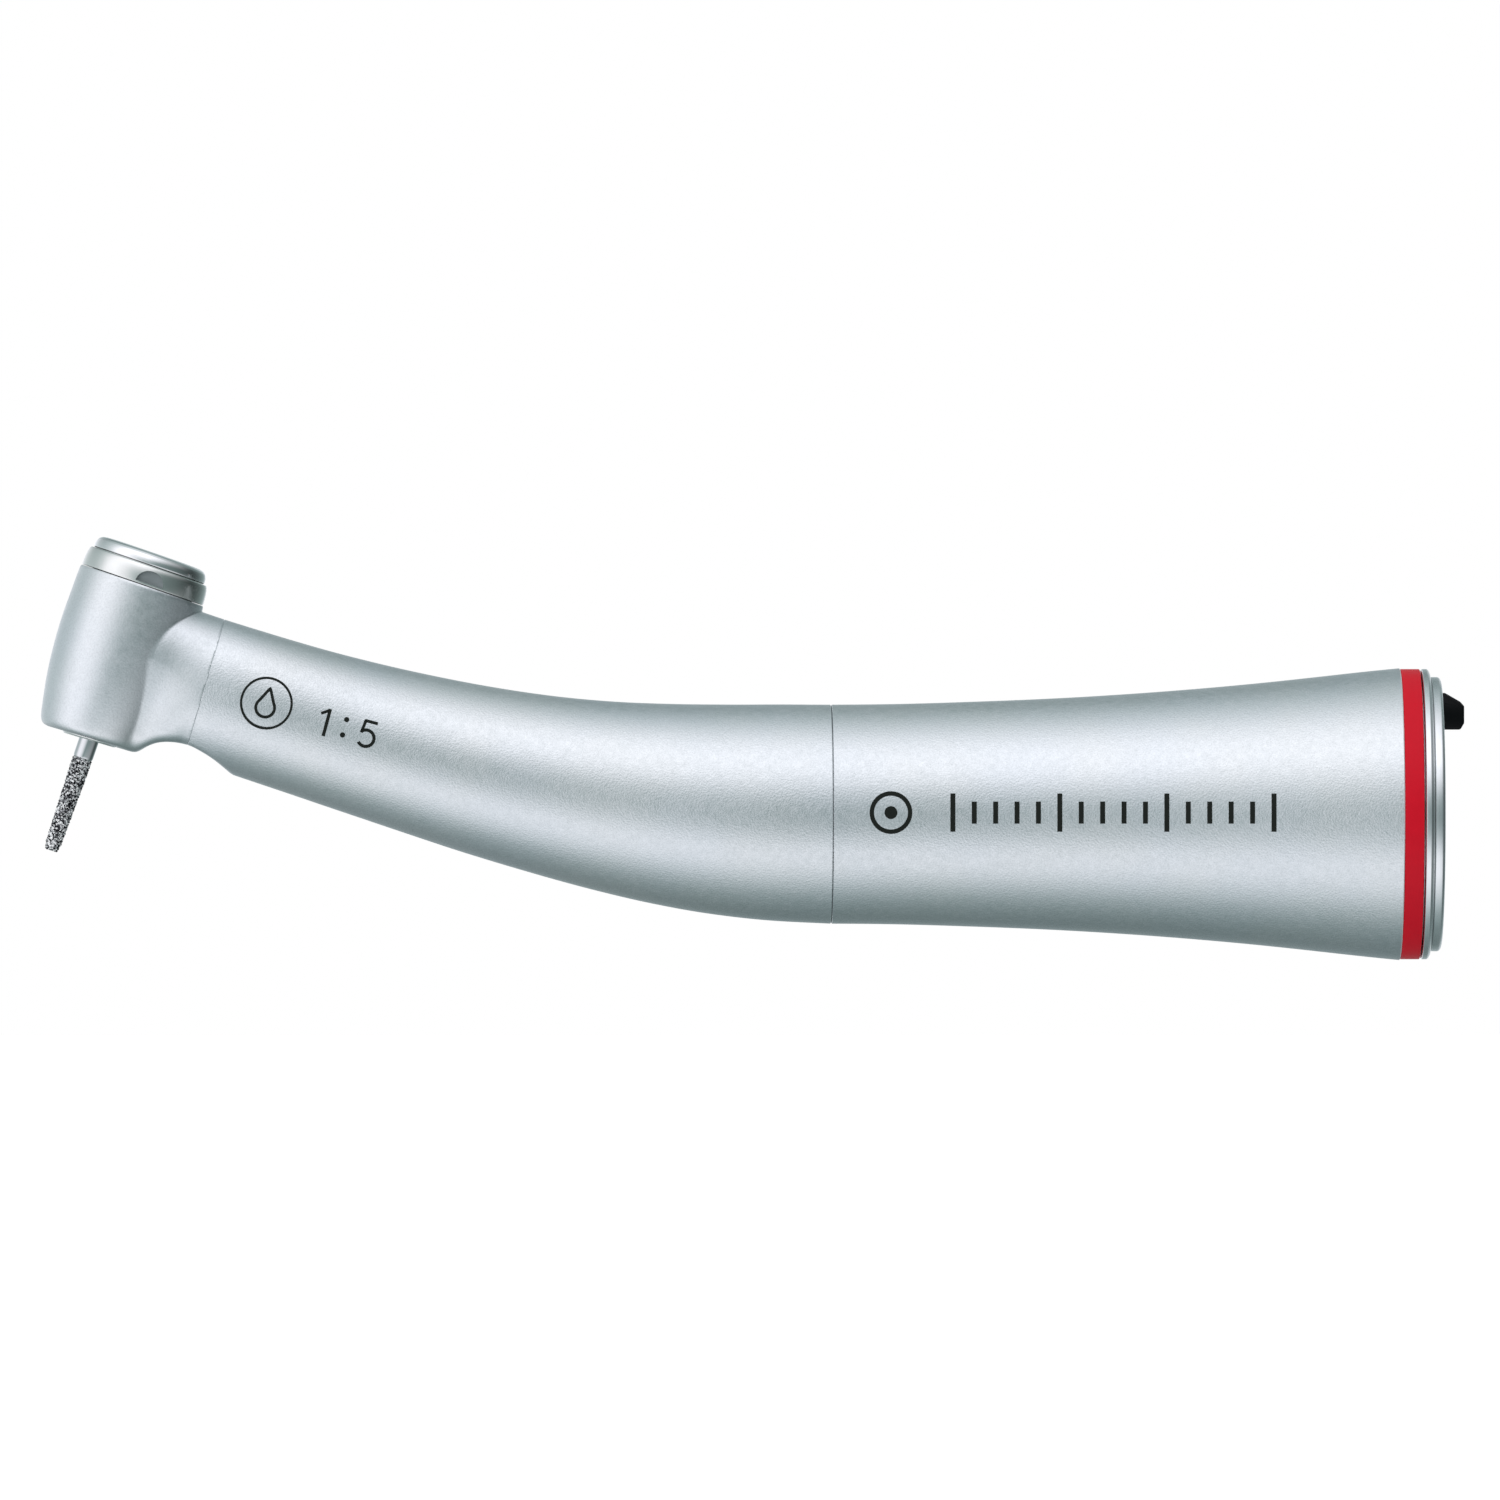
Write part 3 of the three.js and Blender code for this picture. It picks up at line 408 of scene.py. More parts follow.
def place(name, verts, faces, material, body=ROOT, node=None, slot=None, angle=32):
    """Welded, smooth-shaded piece; slot is the replaced node's unless given."""
    obj = new_object(name, verts, faces, weld=True)
    shade_smooth(obj.data, angle)
    register(obj, material, body, slot or NODE_SLOT[node], node)
    return obj


def paint(obj, material, chosen):
    """Gives a further material to the faces where chosen(face) holds; sizes there in metres."""
    obj.data.materials.append(material)
    for face in obj.data.polygons:
        if chosen(face):
            face.material_index = len(obj.data.materials) - 1


def joined(pieces):
    """One mesh from several (verts, faces)."""
    all_verts, all_faces, base = [], [], 0
    for verts, faces in pieces:
        all_verts.append(verts)
        all_faces += [tuple(base + k for k in face) for face in faces]
        base += len(verts)
    return np.concatenate(all_verts), all_faces


def rounded(profile, radius=0.04, steps=3, closed=True):
    """Rounds each corner of a 2-D outline."""
    points = [np.array(q, float) for q in profile]
    result, count = [], len(points)
    for i, corner in enumerate(points):
        if not closed and i in (0, count - 1):
            result.append(corner)
            continue
        back, ahead = points[i - 1] - corner, points[(i + 1) % count] - corner
        back_length, ahead_length = np.linalg.norm(back), np.linalg.norm(ahead)
        if back_length < 1e-6 or ahead_length < 1e-6:
            continue
        back, ahead = back / back_length, ahead / ahead_length
        turn = math.pi - math.acos(max(-1, min(1, float(back @ ahead))))
        if turn < math.radians(14):
            result.append(corner)
            continue
        reach = min(radius * math.tan(turn / 2), 0.38 * back_length, 0.38 * ahead_length)
        start, end = corner + back * reach, corner + ahead * reach
        for k in range(steps + 1):
            t = k / steps
            result.append(start * (1 - t) ** 2 + corner * 2 * t * (1 - t) + end * t * t)
    return result


# A lathe axis is "barrel" (along X in the barrel frame), "front" (along the head frame's x) or
# "spindle" (up the head frame's z). Every profile is a list of [place along the axis, radius].
AXIS_TO_ROW = {"barrel": from_barrel, "front": from_head, "spindle": from_head}


def around(axis, along, radius, angle, centre_z=0.0):
    """Points round a lathe axis, in that axis's own frame."""
    cos, sin = radius * np.cos(angle), radius * np.sin(angle)
    if axis == "spindle":
        return np.stack([cos, sin, along], -1)
    return np.stack([along, sin, cos + centre_z], -1)


def lathe(profile, axis, segs=96, centre_z=0.0, closed=True):
    """Turns a profile round an axis at height centre_z."""
    points = np.array(profile, float)
    count = len(points)
    angles = np.tile(np.linspace(0, 2 * math.pi, segs, endpoint=False), count)
    along = np.repeat(points[:, 0], segs)
    radius = np.repeat(np.maximum(points[:, 1], 0), segs)
    verts = AXIS_TO_ROW[axis](around(axis, along, radius, angles, centre_z))
    on_axis = points[:, 1] <= 1e-9
    faces = []
    for i in range(count if closed else count - 1):
        j = (i + 1) % count
        if on_axis[i] and on_axis[j]:
            continue
        a, b = i * segs, j * segs
        for k in range(segs):
            l = (k + 1) % segs
            if on_axis[i]:
                faces.append((a, b + k, b + l))
            elif on_axis[j]:
                faces.append((a + k, b, a + l))
            else:
                faces.append((a + k, a + l, b + l, b + k))
    used = sorted({q for face in faces for q in face})
    index = {q: i for i, q in enumerate(used)}
    return verts[used], [tuple(index[q] for q in face) for face in faces]


def turned_piece(name, node, profile, axis, material, body=ROOT, segs=96, radius=0.05,
                 centre_z=0.0, slot=None):
    """Lathed piece with its corners rounded. A profile from axis to axis stays open."""
    closed = not (profile[0][1] == 0 and profile[-1][1] == 0)
    verts, faces = lathe(rounded(profile, radius, 3, closed), axis, segs, centre_z, closed)
    return place(name, verts, faces, material, body, node, slot)


def rings_mesh(rows, loop=False):
    """Quads through closed rings of points. loop joins the last ring to the first; otherwise the
    ends are capped."""
    count, sides = len(rows), len(rows[0])
    faces = []
    for i in range(count if loop else count - 1):
        a, b = i * sides, (i + 1) % count * sides
        for k in range(sides):
            l = (k + 1) % sides
            faces.append((a + k, a + l, b + l, b + k))
    if not loop:
        total = count * sides
        faces += [tuple(range(sides))[::-1], tuple(range(total - sides, total))]
    return np.concatenate(rows), faces


def swept(path, radius, sides):
    """A round rod along a path of row frame points."""
    tangents = np.gradient(path, axis=0)
    tangents /= np.linalg.norm(tangents, axis=1)[:, None]
    flat = abs(tangents[0, 1]) < 0.9
    side = np.cross(np.array([0.0, 1.0, 0.0] if flat else [1.0, 0.0, 0.0]), tangents[0])
    rows, angles = [], np.linspace(0, 2 * math.pi, sides, endpoint=False)
    for point, tangent in zip(path, tangents):
        side = side - tangent * (side @ tangent)
        side /= np.linalg.norm(side)
        other = np.cross(tangent, side)
        spokes = np.cos(angles)[:, None] * side + np.sin(angles)[:, None] * other
        rows.append(point + radius * spokes)
    return rings_mesh(rows)


def cutter(verts, faces):
    return new_object("cutter", verts, faces)


def cut(obj, tools, angle=32, solver="EXACT"):
    """Takes the tools away from obj for good, then removes them."""
    for tool in tools:
        modifier = obj.modifiers.new("cut", "BOOLEAN")
        modifier.operation, modifier.solver, modifier.object = "DIFFERENCE", solver, tool
    depsgraph = bpy.context.evaluated_depsgraph_get()
    made = bpy.data.meshes.new_from_object(obj.evaluated_get(depsgraph))
    obj.modifiers.clear()
    old, obj.data = obj.data, made
    made.name = obj.name
    bpy.data.meshes.remove(old)
    for tool in tools:
        mesh = tool.data
        bpy.data.objects.remove(tool)
        bpy.data.meshes.remove(mesh)
    work = bmesh.new()
    work.from_mesh(made)
    bmesh.ops.dissolve_degenerate(work, edges=work.edges, dist=3e-7)
    work.to_mesh(made)
    work.free()
    shade_smooth(made, angle)


def edge_ends(axis, others):
    """Index of the near and far ends of the grid edges along an axis."""
    near, far = [others] * 3, [others] * 3
    near[axis], far[axis] = slice(0, -1), slice(1, None)
    return tuple(near), tuple(far)


def surface_net(field, low, high, step):
    """Quads of field = 0 inside the box, pulled on to the exact surface."""
    grid = np.meshgrid(*[np.arange(low[i], high[i] + step * 0.5, step) for i in range(3)],
                       indexing="ij")
    values = field(*grid)
    inside = values < 0
    size = values.shape
    cells = tuple(n - 1 for n in size)
    total, count = np.zeros((*cells, 3)), np.zeros(cells)
    # one vertex per crossed cell, at the mean of its edge crossings
    for axis in range(3):
        near, far = edge_ends(axis, slice(None))
        start, drop = values[near], values[near] - values[far]
        crossed = inside[near] != inside[far]
        share = np.where(crossed, start / np.where(drop == 0, 1, drop), 0)
        spots = [g[near] for g in grid]
        spots[axis] = spots[axis] + share * step
        first, second = [i for i in range(3) if i != axis]
        for i in (0, 1):
            for j in (0, 1):
                part = [slice(None)] * 3
                part[first] = slice(i, size[first] - 1 + i)
                part[second] = slice(j, size[second] - 1 + j)
                part = tuple(part)
                for k in range(3):
                    total[..., k] += np.where(crossed[part], spots[k][part], 0)
                count += crossed[part]
    active = count > 0
    index = -np.ones(cells, int)
    index[active] = np.arange(active.sum())
    verts = total[active] / count[active][:, None]
    # one quad round every crossed inner edge
    quads = []
    for axis in range(3):
        first, second = [i for i in range(3) if i != axis]
        near, far = edge_ends(axis, slice(1, -1))
        crossed = inside[near] != inside[far]
        starts_inside = inside[near][crossed]
        cell = np.argwhere(crossed)
        cell[:, first] += 1
        cell[:, second] += 1
        corners = []
        for i, j in ((0, 0), (1, 0), (1, 1), (0, 1)):
            corner = cell.copy()
            corner[:, first] -= i
            corner[:, second] -= j
            corners.append(index[tuple(corner.T)])
        quad = np.stack(corners, 1)
        flip = ~starts_inside if axis == 1 else starts_inside
        quad[flip] = quad[flip][:, ::-1]
        quads.append(quad)
    probe = 1e-3
    for _ in range(6):
        x, y, z = verts.T
        slope = np.stack([
            (field(x + probe, y, z) - field(x - probe, y, z)) / (2 * probe),
            (field(x, y + probe, z) - field(x, y - probe, z)) / (2 * probe),
            (field(x, y, z + probe) - field(x, y, z - probe)) / (2 * probe)], 1)
        move = np.clip(field(x, y, z) / ((slope**2).sum(1) + 1e-9), -0.1, 0.1)
        verts = verts - slope * move[:, None]
    return verts, np.concatenate(quads)


# ------------------------------------------------------------------ neck and head shapes
# neck in the barrel frame: x, centre z, half height, half width
NECK = np.array([
    [-90.34, 10.38, 4.9, 3.95], [-87.3, 9.46, 4.9, 4.0], [-84.38, 8.53, 4.92, 4.42],
    [-81.9, 7.73, 4.95, 4.72], [-77.82, 6.44, 5.03, 4.98], [-73.74, 5.22, 5.19, 5.19],
    [-69.66, 4.08, 5.42, 5.42], [-65.58, 3.02, 5.71, 5.71], [-61.5, 2.1, 6.03, 6.03],
    [-57.41, 1.33, 6.41, 6.41], [-53.33, 0.74, 6.81, 6.81], [-49.25, 0.33, 7.15, 7.15],
    [-45.17, 0.1, 7.37, 7.37], [-41.7, 0.0, 7.45, 7.45]])
# scooped underside in the head frame: x, z
SCOOP = np.array([
    [2.6, -6.4], [3.3, -5.45], [3.72, -4.93], [4.38, -4.35], [5.13, -4.01], [5.9, -3.83],
    [6.6, -3.77], [7.4, -3.88], [8.34, -4.1], [9.14, -4.38], [9.91, -4.7], [10.4, -4.97],
    [12.0, -5.9]])
SCOOP_END = 11.5
# the head's own length of neck, in the head frame: x, half height, half width, centre z
STUB = np.array([[0, 4.92, 3.95, 0.15], [3.17, 4.92, 3.98, 0.17], [6.24, 4.92, 4.42, 0.19],
                 [8.84, 4.95, 4.72, 0.242]])
# head in the head frame: z, radius
HEAD = np.array([
    [7.0, 4.37], [5.5, 4.37], [5.35, 4.41], [3.2, 4.46], [2.0, 4.475], [0.9, 4.45],
    [-0.2, 4.385], [-1.3, 4.29], [-2.4, 4.15], [-3.4, 3.985], [-4.4, 3.775], [-4.85, 3.66],
    [-5.13, 3.56], [-5.33, 3.42], [-5.45, 3.24], [-5.52, 2.95]])
# rear sheath in the barrel frame: x, radius
REAR = np.array([
    [-41.68, 7.45], [-37, 7.5], [-32.93, 7.62], [-28.84, 7.77], [-24.76, 7.97], [-20.68, 8.23],
    [-16.6, 8.545], [-12.52, 8.92], [-8.44, 9.355], [-4.35, 9.8], [-3.0, 9.93]])
FOOT, FOOT_RADIUS = HEAD[-1]
LEAN = 0.044  # slope of the foot's face
NECK_FRONT, NECK_REAR = -84.38, -41.7

scoop_z = pchip(*SCOOP.T)
neck_z = spline(NECK[:, 0], NECK[:, 1])
neck_half_height = pchip(NECK[:, 0], NECK[:, 2])
neck_half_width = pchip(NECK[:, 0], NECK[:, 3])
stub_half_height, stub_half_width, stub_z = (pchip(STUB[:, 0], STUB[:, i]) for i in (1, 2, 3))
head_radius = pchip(*HEAD[::-1].T)
rear_radius = spline(*REAR.T)

SLOPE_X = np.linspace(NECK_FRONT, NECK_REAR, 200)
NECK_SLOPE = np.arctan(-np.gradient(neck_z(SLOPE_X), SLOPE_X))


def neck_power(x):
    """Superellipse power: squarer near the head, an ellipse further back."""
    return 2.0 + 0.3 * (1 - smooth((x - NECK_FRONT) / 14))


GRID_STEP, GRID_LOW = 0.04, -7.5


def head_distances():
    """Signed distance to the head's outline over a grid of radius and z."""
    radius, z = np.meshgrid(np.arange(0, 9.0, GRID_STEP), np.arange(GRID_LOW, 7.6, GRID_STEP),
                            indexing="ij")
    side_z = np.concatenate([np.linspace(7, -4.8, 240), np.linspace(-4.82, FOOT, 70)])
    outline = np.concatenate([
        np.stack([head_radius(side_z), side_z], 1),
        np.stack([np.linspace(FOOT_RADIUS, 0, 60), np.full(60, FOOT)], 1)])
    distance = np.full(radius.shape, 1e9)
    for (start_r, start_z), (end_r, end_z) in zip(outline[:-1], outline[1:]):
        run, rise = end_r - start_r, end_z - start_z
        t = ((radius - start_r) * run + (z - start_z) * rise) / (run * run + rise * rise + 1e-12)
        t = np.clip(t, 0, 1)
        gap = np.hypot(radius - start_r - t * run, z - start_z - t * rise)
        distance = np.minimum(distance, gap)
    return np.where((radius < head_radius(z)) & (z > FOOT), -distance, distance)


HEAD_DISTANCES = head_distances()


def lean(x, z):
    """The foot's face leans a little: its offset along the head axis."""
    return LEAN * x * smooth((-3.6 - z) / 1.6)


def leaned(verts):
    """Row frame points of a piece on the foot, leaned with it."""
    x, z = row_to_head(verts)
    return from_head(np.stack([x, verts[:, 1], z + lean(x, z)], 1))


def head_body(x, y, z):
    """The head without its neck, read from the distance grid."""
    z = z - lean(x, z)
    last_r, last_z = HEAD_DISTANCES.shape
    column = np.clip(np.hypot(x, y) / GRID_STEP, 0, last_r - 1.001)
    row = np.clip((z - GRID_LOW) / GRID_STEP, 0, last_z - 1.001)
    i, j = column.astype(int), row.astype(int)
    s, t = column - i, row - j
    return (HEAD_DISTANCES[i, j] * (1 - s) * (1 - t) + HEAD_DISTANCES[i + 1, j] * s * (1 - t)
            + HEAD_DISTANCES[i, j + 1] * (1 - s) * t + HEAD_DISTANCES[i + 1, j + 1] * s * t)


def neck_stub(x, y, z):
    """The neck's first stretch: different powers above and below, its floor cut by the scoop."""
    height, width = stub_half_height(x), stub_half_width(x)
    near = 1 - smooth((x - 2.7) / 3.4)  # 1 beside the head, 0 at the neck sheath
    lift = 0.83 * near
    from_mid = z - stub_z(x) - lift

    def section(half_height, power):
        sides = (np.abs(y) / width) ** power
        return (sides + (np.abs(from_mid) / half_height) ** power) ** (1 / power)

    upper = section(height - lift, 2.3 + 0.2 * near)
    lower = section(height + (11.4 - height) * near, 2.0 - 0.78 * near)
    body = (np.where(from_mid >= 0, upper, lower) - 1) * width * 0.98
    floor = soft_max(scoop_z(x), FOOT + lean(x, z), 0.45)
    return soft_max(body, (floor - z) * 0.8, 0.45 + 0.55 * (1 - smooth((x - 3.2) / 2.6)))


def head_field(x, y, z):
    neck = soft_max(neck_stub(x, y, z), -(x - 0.2), 0.3)
    return soft_min(head_body(x, y, z), neck, 0.1 + 0.14 * smooth((-2.5 - z) / 2.5))


def head_shell(x, y, z):
    wall = 0.55
    outside = head_field(x, y, z)
    return np.maximum(outside, -(outside + wall))


# ------------------------------------------------------------------ head casing
# cuts of the casing in the head frame: point, outward normal
HEAD_CUTS = (
    (Vector((0, 0, 5.49)), Vector((0, 0, 1))),  # top face
    (Vector((6.262, 0, 0)), Vector((0.99911, 0, 0.04216))),  # joint with the neck sheath
)
EDGE_BREAK = 0.035
FOOT_HOLE = [[-7, 0], [-7, 2.05], [-5.54, 2.05], [-5.45, 1.97], [-4.6, 1.97], [-4.6, 0]]
PINHOLE = [[-6.4, 0], [-6.4, 0.15], [-4.2, 0.15], [-4.2, 0]]
PINHOLE_CIRCLE = 2.62  # radius the four pinholes lie on


def head_mesh():
    """Casing verts and faces in the head frame, cut flat and closed."""
    step = 0.1
    verts, quads = surface_net(head_shell, (-4.75, -4.75, -5.95), (7.4, 4.75, 6.2), step)
    mesh = bpy.data.meshes.new("head")
    mesh.from_pydata(verts.tolist(), [], quads.tolist())
    work = bmesh.new()
    work.from_mesh(mesh)
    bmesh.ops.remove_doubles(work, verts=work.verts, dist=1e-4)
    for point, normal in HEAD_CUTS:
        bmesh.ops.bisect_plane(work, geom=work.verts[:] + work.edges[:] + work.faces[:], dist=1e-5,
                               plane_co=point, plane_no=normal, clear_outer=True)
    work.normal_update()
    # break the edges of each cut: move the rim into the wall, whichever way the normals face
    rim = [v for v in work.verts if v.is_boundary]
    normals = {v: v.normal.copy() for v in rim}
    top_rim = [v for v in rim if math.hypot(v.co.x, v.co.y) > 4.1 and v.co.z > 5]
    way = 1 if sum(normals[v].dot(v.co) for v in top_rim) > 0 else -1
    for v in rim:
        v.co -= normals[v] * EDGE_BREAK * way
    for point, normal in HEAD_CUTS:
        edges = [e for e in work.edges
                 if e.is_boundary and all(abs((v.co - point).dot(normal)) < 0.06 for v in e.verts)]
        bmesh.ops.triangle_fill(work, edges=edges, use_beauty=True, use_dissolve=False,
                                normal=normal)
    bmesh.ops.recalc_face_normals(work, faces=work.faces)
    verts = np.array([v.co[:] for v in work.verts])
    faces = [tuple(v.index for v in face.verts) for face in work.faces]
    work.free()
    bpy.data.meshes.remove(mesh)
    return verts, faces


def build_head():
    verts, faces = head_mesh()
    skin = place("head_casing_skin", from_head(verts), faces, HEAD_SKIN, node="head_casing",
                 angle=38)
    verts, faces = lathe(FOOT_HOLE, "spindle", closed=False)
    tools = [cutter(leaned(verts), faces)]
    for k in range(4):
        angle = math.pi / 4 + k * math.pi / 2
        verts, faces = lathe(PINHOLE, "spindle", 24, closed=False)
        centre = around("spindle", 0, PINHOLE_CIRCLE, angle)
        offset = from_head([centre]) - from_head([[0, 0, 0]])
        tools.append(cutter(verts + offset, faces))
    cut(skin, tools, angle=38, solver="MANIFOLD")


# ------------------------------------------------------------------ neck sheath and light guide
NECK_SIDES, NECK_WALL = 144, 0.62
# light guide's centreline as x, z: the barrel frame part, then the head frame part
GUIDE_BARREL = [(-23.1, -5.1), (-30, -5.15), (-38, -5.3), (-46, -5.6), (-52, -4.75),
                (-58, -3.25), (-64, -1.65)]
GUIDE_HEAD = [(20.5, -3.42), (15, -3.42), (11, -3.5)]
GUIDE_TIP, GUIDE_HOLE_TIP = (7.02, -4.0), (6.95, -4.01)
GUIDE_RADIUS, GUIDE_HOLE_RADIUS = 0.6, 0.655


def neck_rows(stations, insets):
    """Rings of the neck in the row frame, each square to the bend and drawn in by its inset."""
    rows = []
    angles = np.linspace(0, 2 * math.pi, NECK_SIDES, endpoint=False)
    cos, sin = np.cos(angles), np.sin(angles)
    for x, inset in zip(stations, insets):
        share = (x - NECK_FRONT) / (NECK_REAR - NECK_FRONT)
        follow = smooth(share / 0.12)
        tilt = math.radians(16.5) * (1 - follow) + np.interp(x, SLOPE_X, NECK_SLOPE) * follow
        tilt = tilt * (1 - smooth((share - 0.9) / 0.1))
        power = np.where(cos >= 0, neck_power(x), 2.0)
        section = ((np.abs(cos) / neck_half_height(x)) ** power
                   + (np.abs(sin) / neck_half_width(x)) ** power) ** (-1 / power)

        def spot(radius):
            """Barrel frame x, z at a radius."""
            return (x + math.sin(tilt) * radius * cos,
                    neck_z(x) + math.cos(tilt) * radius * cos)

        def inside(radius):
            head_x, head_z = to_head(*spot(radius))
            above = np.where(head_x < SCOOP_END, (scoop_z(head_x) - head_z) * 0.95, -9)
            return soft_max(radius - section, above, 0.12) < 0

        radius = bisect(np.zeros(NECK_SIDES), section + 0.3, inside, 34) - inset
        ring_x, ring_z = spot(radius)
        rows.append(from_barrel(np.stack([ring_x, radius * sin, ring_z], 1)))
    return rows


def guide_line(end, steps):
    """Row frame points along the light guide to its lit end, steps running 0 to 1."""
    points = np.array([to_head(x, z) for x, z in GUIDE_BARREL] + GUIDE_HEAD + [end])
    run = np.concatenate([[0], np.cumsum(np.linalg.norm(np.diff(points, axis=0), axis=1))])
    run /= run[-1]
    x, z = (pchip(run, points[:, i])(steps) for i in range(2))
    return from_head(np.stack([x, np.zeros(len(x)), z], 1))


def build_neck():
    front, rear = NECK_FRONT + 0.02, NECK_REAR - 0.02
    stations = np.concatenate([
        [front, front + 0.035], np.linspace(front + 0.12, front + 9, 60)[1:],
        np.linspace(front + 9, rear - 0.12, 70)[1:], [rear - 0.045, rear]])
    edge_breaks = np.zeros(len(stations))
    edge_breaks[0], edge_breaks[-1] = 0.035, 0.04
    outer = neck_rows(stations, edge_breaks)
    stations = np.concatenate([[front], np.linspace(front + 1, rear - 1, 30), [rear]])
    inner = neck_rows(stations, np.full(len(stations), NECK_WALL))
    verts, faces = rings_mesh(outer + inner[::-1], loop=True)
    skin = place("neck_sheath_skin", verts, faces, TITANIUM, node="neck_sheath", angle=38)
    # the light guide's exit on the scooped face
    hole = guide_line(GUIDE_HOLE_TIP, np.linspace(0.8, 1, 8))
    cut(skin, [cutter(*swept(hole, GUIDE_HOLE_RADIUS, 32))], angle=38)
    # the rod, trimmed just above the scoop
    verts, faces = swept(guide_line(GUIDE_TIP, np.linspace(0, 1, 150)), GUIDE_RADIUS, 32)
    x, z = row_to_head(verts)
    floor = scoop_z(x) + 0.05
    low = (x < SCOOP_END) & (z < floor)
    trimmed = from_head(np.stack([x, verts[:, 1], np.where(low, floor, z)], 1))
    verts = np.where(low[:, None], trimmed, verts)
    place("light_guide_rod", verts, faces, GLASS, node="light_guide", angle=40)


# ------------------------------------------------------------------ rear sheath and rings
REAR_EDGE = [[-3.04, 9.925], [-2.985, 9.87]]
REAR_BORE = [[-2.985, 8.36], [-11.6, 8.36], [-11.6, 8.1], [-16.6, 7.75], [-24.76, 7.25],
             [-32.93, 6.9], [-41.68, 6.77]]
REAR_FRAME = [
    [-0.2, 7.75], [-0.2, 9.0], [-0.225, 9.12], [-0.29, 9.24], [-0.38, 9.31], [-0.47, 9.33],
    [-0.83, 9.33], [-0.895, 9.29], [-0.9, 8.88], [-3.04, 8.88], [-3.04, 8.3], [-11.5, 8.3],
    [-11.5, 6.6], [-25, 6.6], [-25, 4.05], [-41.9, 4.05], [-41.9, 6.15], [-42.6, 6.15],
    [-42.6, 3.6], [-40.4, 3.6], [-40.4, 3.2], [-27.2, 3.2], [-27.2, 3.6], [-25.4, 3.6],
    [-25.4, 2.85], [-23, 2.85], [-23, 6.0], [-11.6, 6.0], [-11.0, 6.4], [-11, 7.75]]
RING_BORE = 8.92
COLOUR_RING = [[-2.97, RING_BORE], [-2.97, 9.85], [-2.92, 9.875], [-1.7, 9.875], [-1.66, 9.85],
               [-1.66, RING_BORE]]
END_RING = [[-1.56, RING_BORE], [-1.56, 9.79], [-1.49, 9.875], [-1.18, 9.875], [-1.07, 9.8],
            [-0.98, 9.62], [-0.92, 9.38], [-0.91, RING_BORE]]
# slot through the socket wall for the peg: low and high x, y, z
PEG_SLOT = (-6.06, 1.0), (-1.54, 1.54), (5.4, 8.3)
# peg outline seen from the side: x, z
PEG = [[-6, 6.35], [-6, 7.95], [-2.9, 7.95], [-2.9, 8.25], [0.05, 8.25], [1.08, 7.66],
       [1.36, 7.35], [1.36, 6.2], [1.1, 5.75], [-5.4, 5.75]]
# peg sections: y, inset of the outline
PEG_SECTIONS = ((-1.5, 0.14), (-1.46, 0.07), (-1.4, 0.025), (-1.3, 0), (0, 0), (1.3, 0),
                (1.4, 0.025), (1.46, 0.07), (1.5, 0.14))


def build_rear():
    front = REAR[0, 0]
    skin = [[x, float(rear_radius(x))] for x in np.linspace(-41.64, -3.08, 90)]
    profile = [[front, REAR[0, 1] - 0.045]] + skin + REAR_EDGE + REAR_BORE
    verts, faces = lathe(profile, "barrel", 192)
    sheath = place("rear_sheath_skin", verts, faces, TITANIUM, node="rear_sheath", angle=28)
    # painted highlight: the lip faces at the sheath's rear end take the pale material
    lip_x, lip_radius = (BARREL_SHIFT - 3.05) * MM, 9.7 * MM
    paint(sheath, PAINTED_EDGE_HIGHLIGHT, lambda face: face.center[0] > lip_x
          and math.hypot(face.center[1], face.center[2]) > lip_radius)


def bore_tool(radius, y, centre_z, segs):
    """Cutter for a bore along X through the frame's web, flared at its rear mouth."""
    profile = [[-25.6, 0], [-25.6, radius], [-23.06, radius], [-22.9, radius + 0.14], [-22.9, 0]]
    verts, faces = lathe(profile, "barrel", segs, centre_z, closed=False)
    return cutter(verts + np.array([0, y, 0]), faces)


def build_peg():
    """Extruded outline with rounded edges."""
    outline = np.array(rounded(PEG, 0.22, 6))
    along = np.roll(outline, -1, 0) - np.roll(outline, 1, 0)
    outward = np.stack([along[:, 1], -along[:, 0]], 1)
    outward /= np.linalg.norm(outward, axis=1)[:, None] + 1e-9
    centre = outline.mean(0)
    if ((outline + outward - centre) ** 2).sum() < ((outline - centre) ** 2).sum():
        outward = -outward
    rows = []
    for y, inset in PEG_SECTIONS:
        x, z = (outline - outward * inset).T
        rows.append(from_barrel(np.stack([x, np.full(len(x), y), z], 1)))
    place("locating_peg_body", *rings_mesh(rows), BLACK, node="locating_peg", angle=50)


def build_end():
    body = turned_piece("rear_frame_body", "rear_frame", REAR_FRAME, "barrel", END_METAL,
                        segs=160, radius=0.08, slot="turned_steel")
    corners = [[x, y, z] for x in PEG_SLOT[0] for y in PEG_SLOT[1] for z in PEG_SLOT[2]]
    sides = [(0, 1, 3, 2), (4, 6, 7, 5), (0, 4, 5, 1), (2, 3, 7, 6), (0, 2, 6, 4), (1, 5, 7, 3)]
    cut(body, [
        cutter(from_barrel(corners), sides),
        bore_tool(radius=0.66, y=0, centre_z=-5.12, segs=32),
        bore_tool(radius=0.31, y=-3.42, centre_z=-3.62, segs=24),
        bore_tool(radius=0.31, y=3.42, centre_z=-3.62, segs=24)])
    turned_piece("colour_ring_band", "colour_ring", COLOUR_RING, "barrel", RED, segs=192,
                 radius=0.03)
    turned_piece("end_ring_band", "end_ring", END_RING, "barrel", END_METAL, segs=192, radius=0.03)
    build_peg()


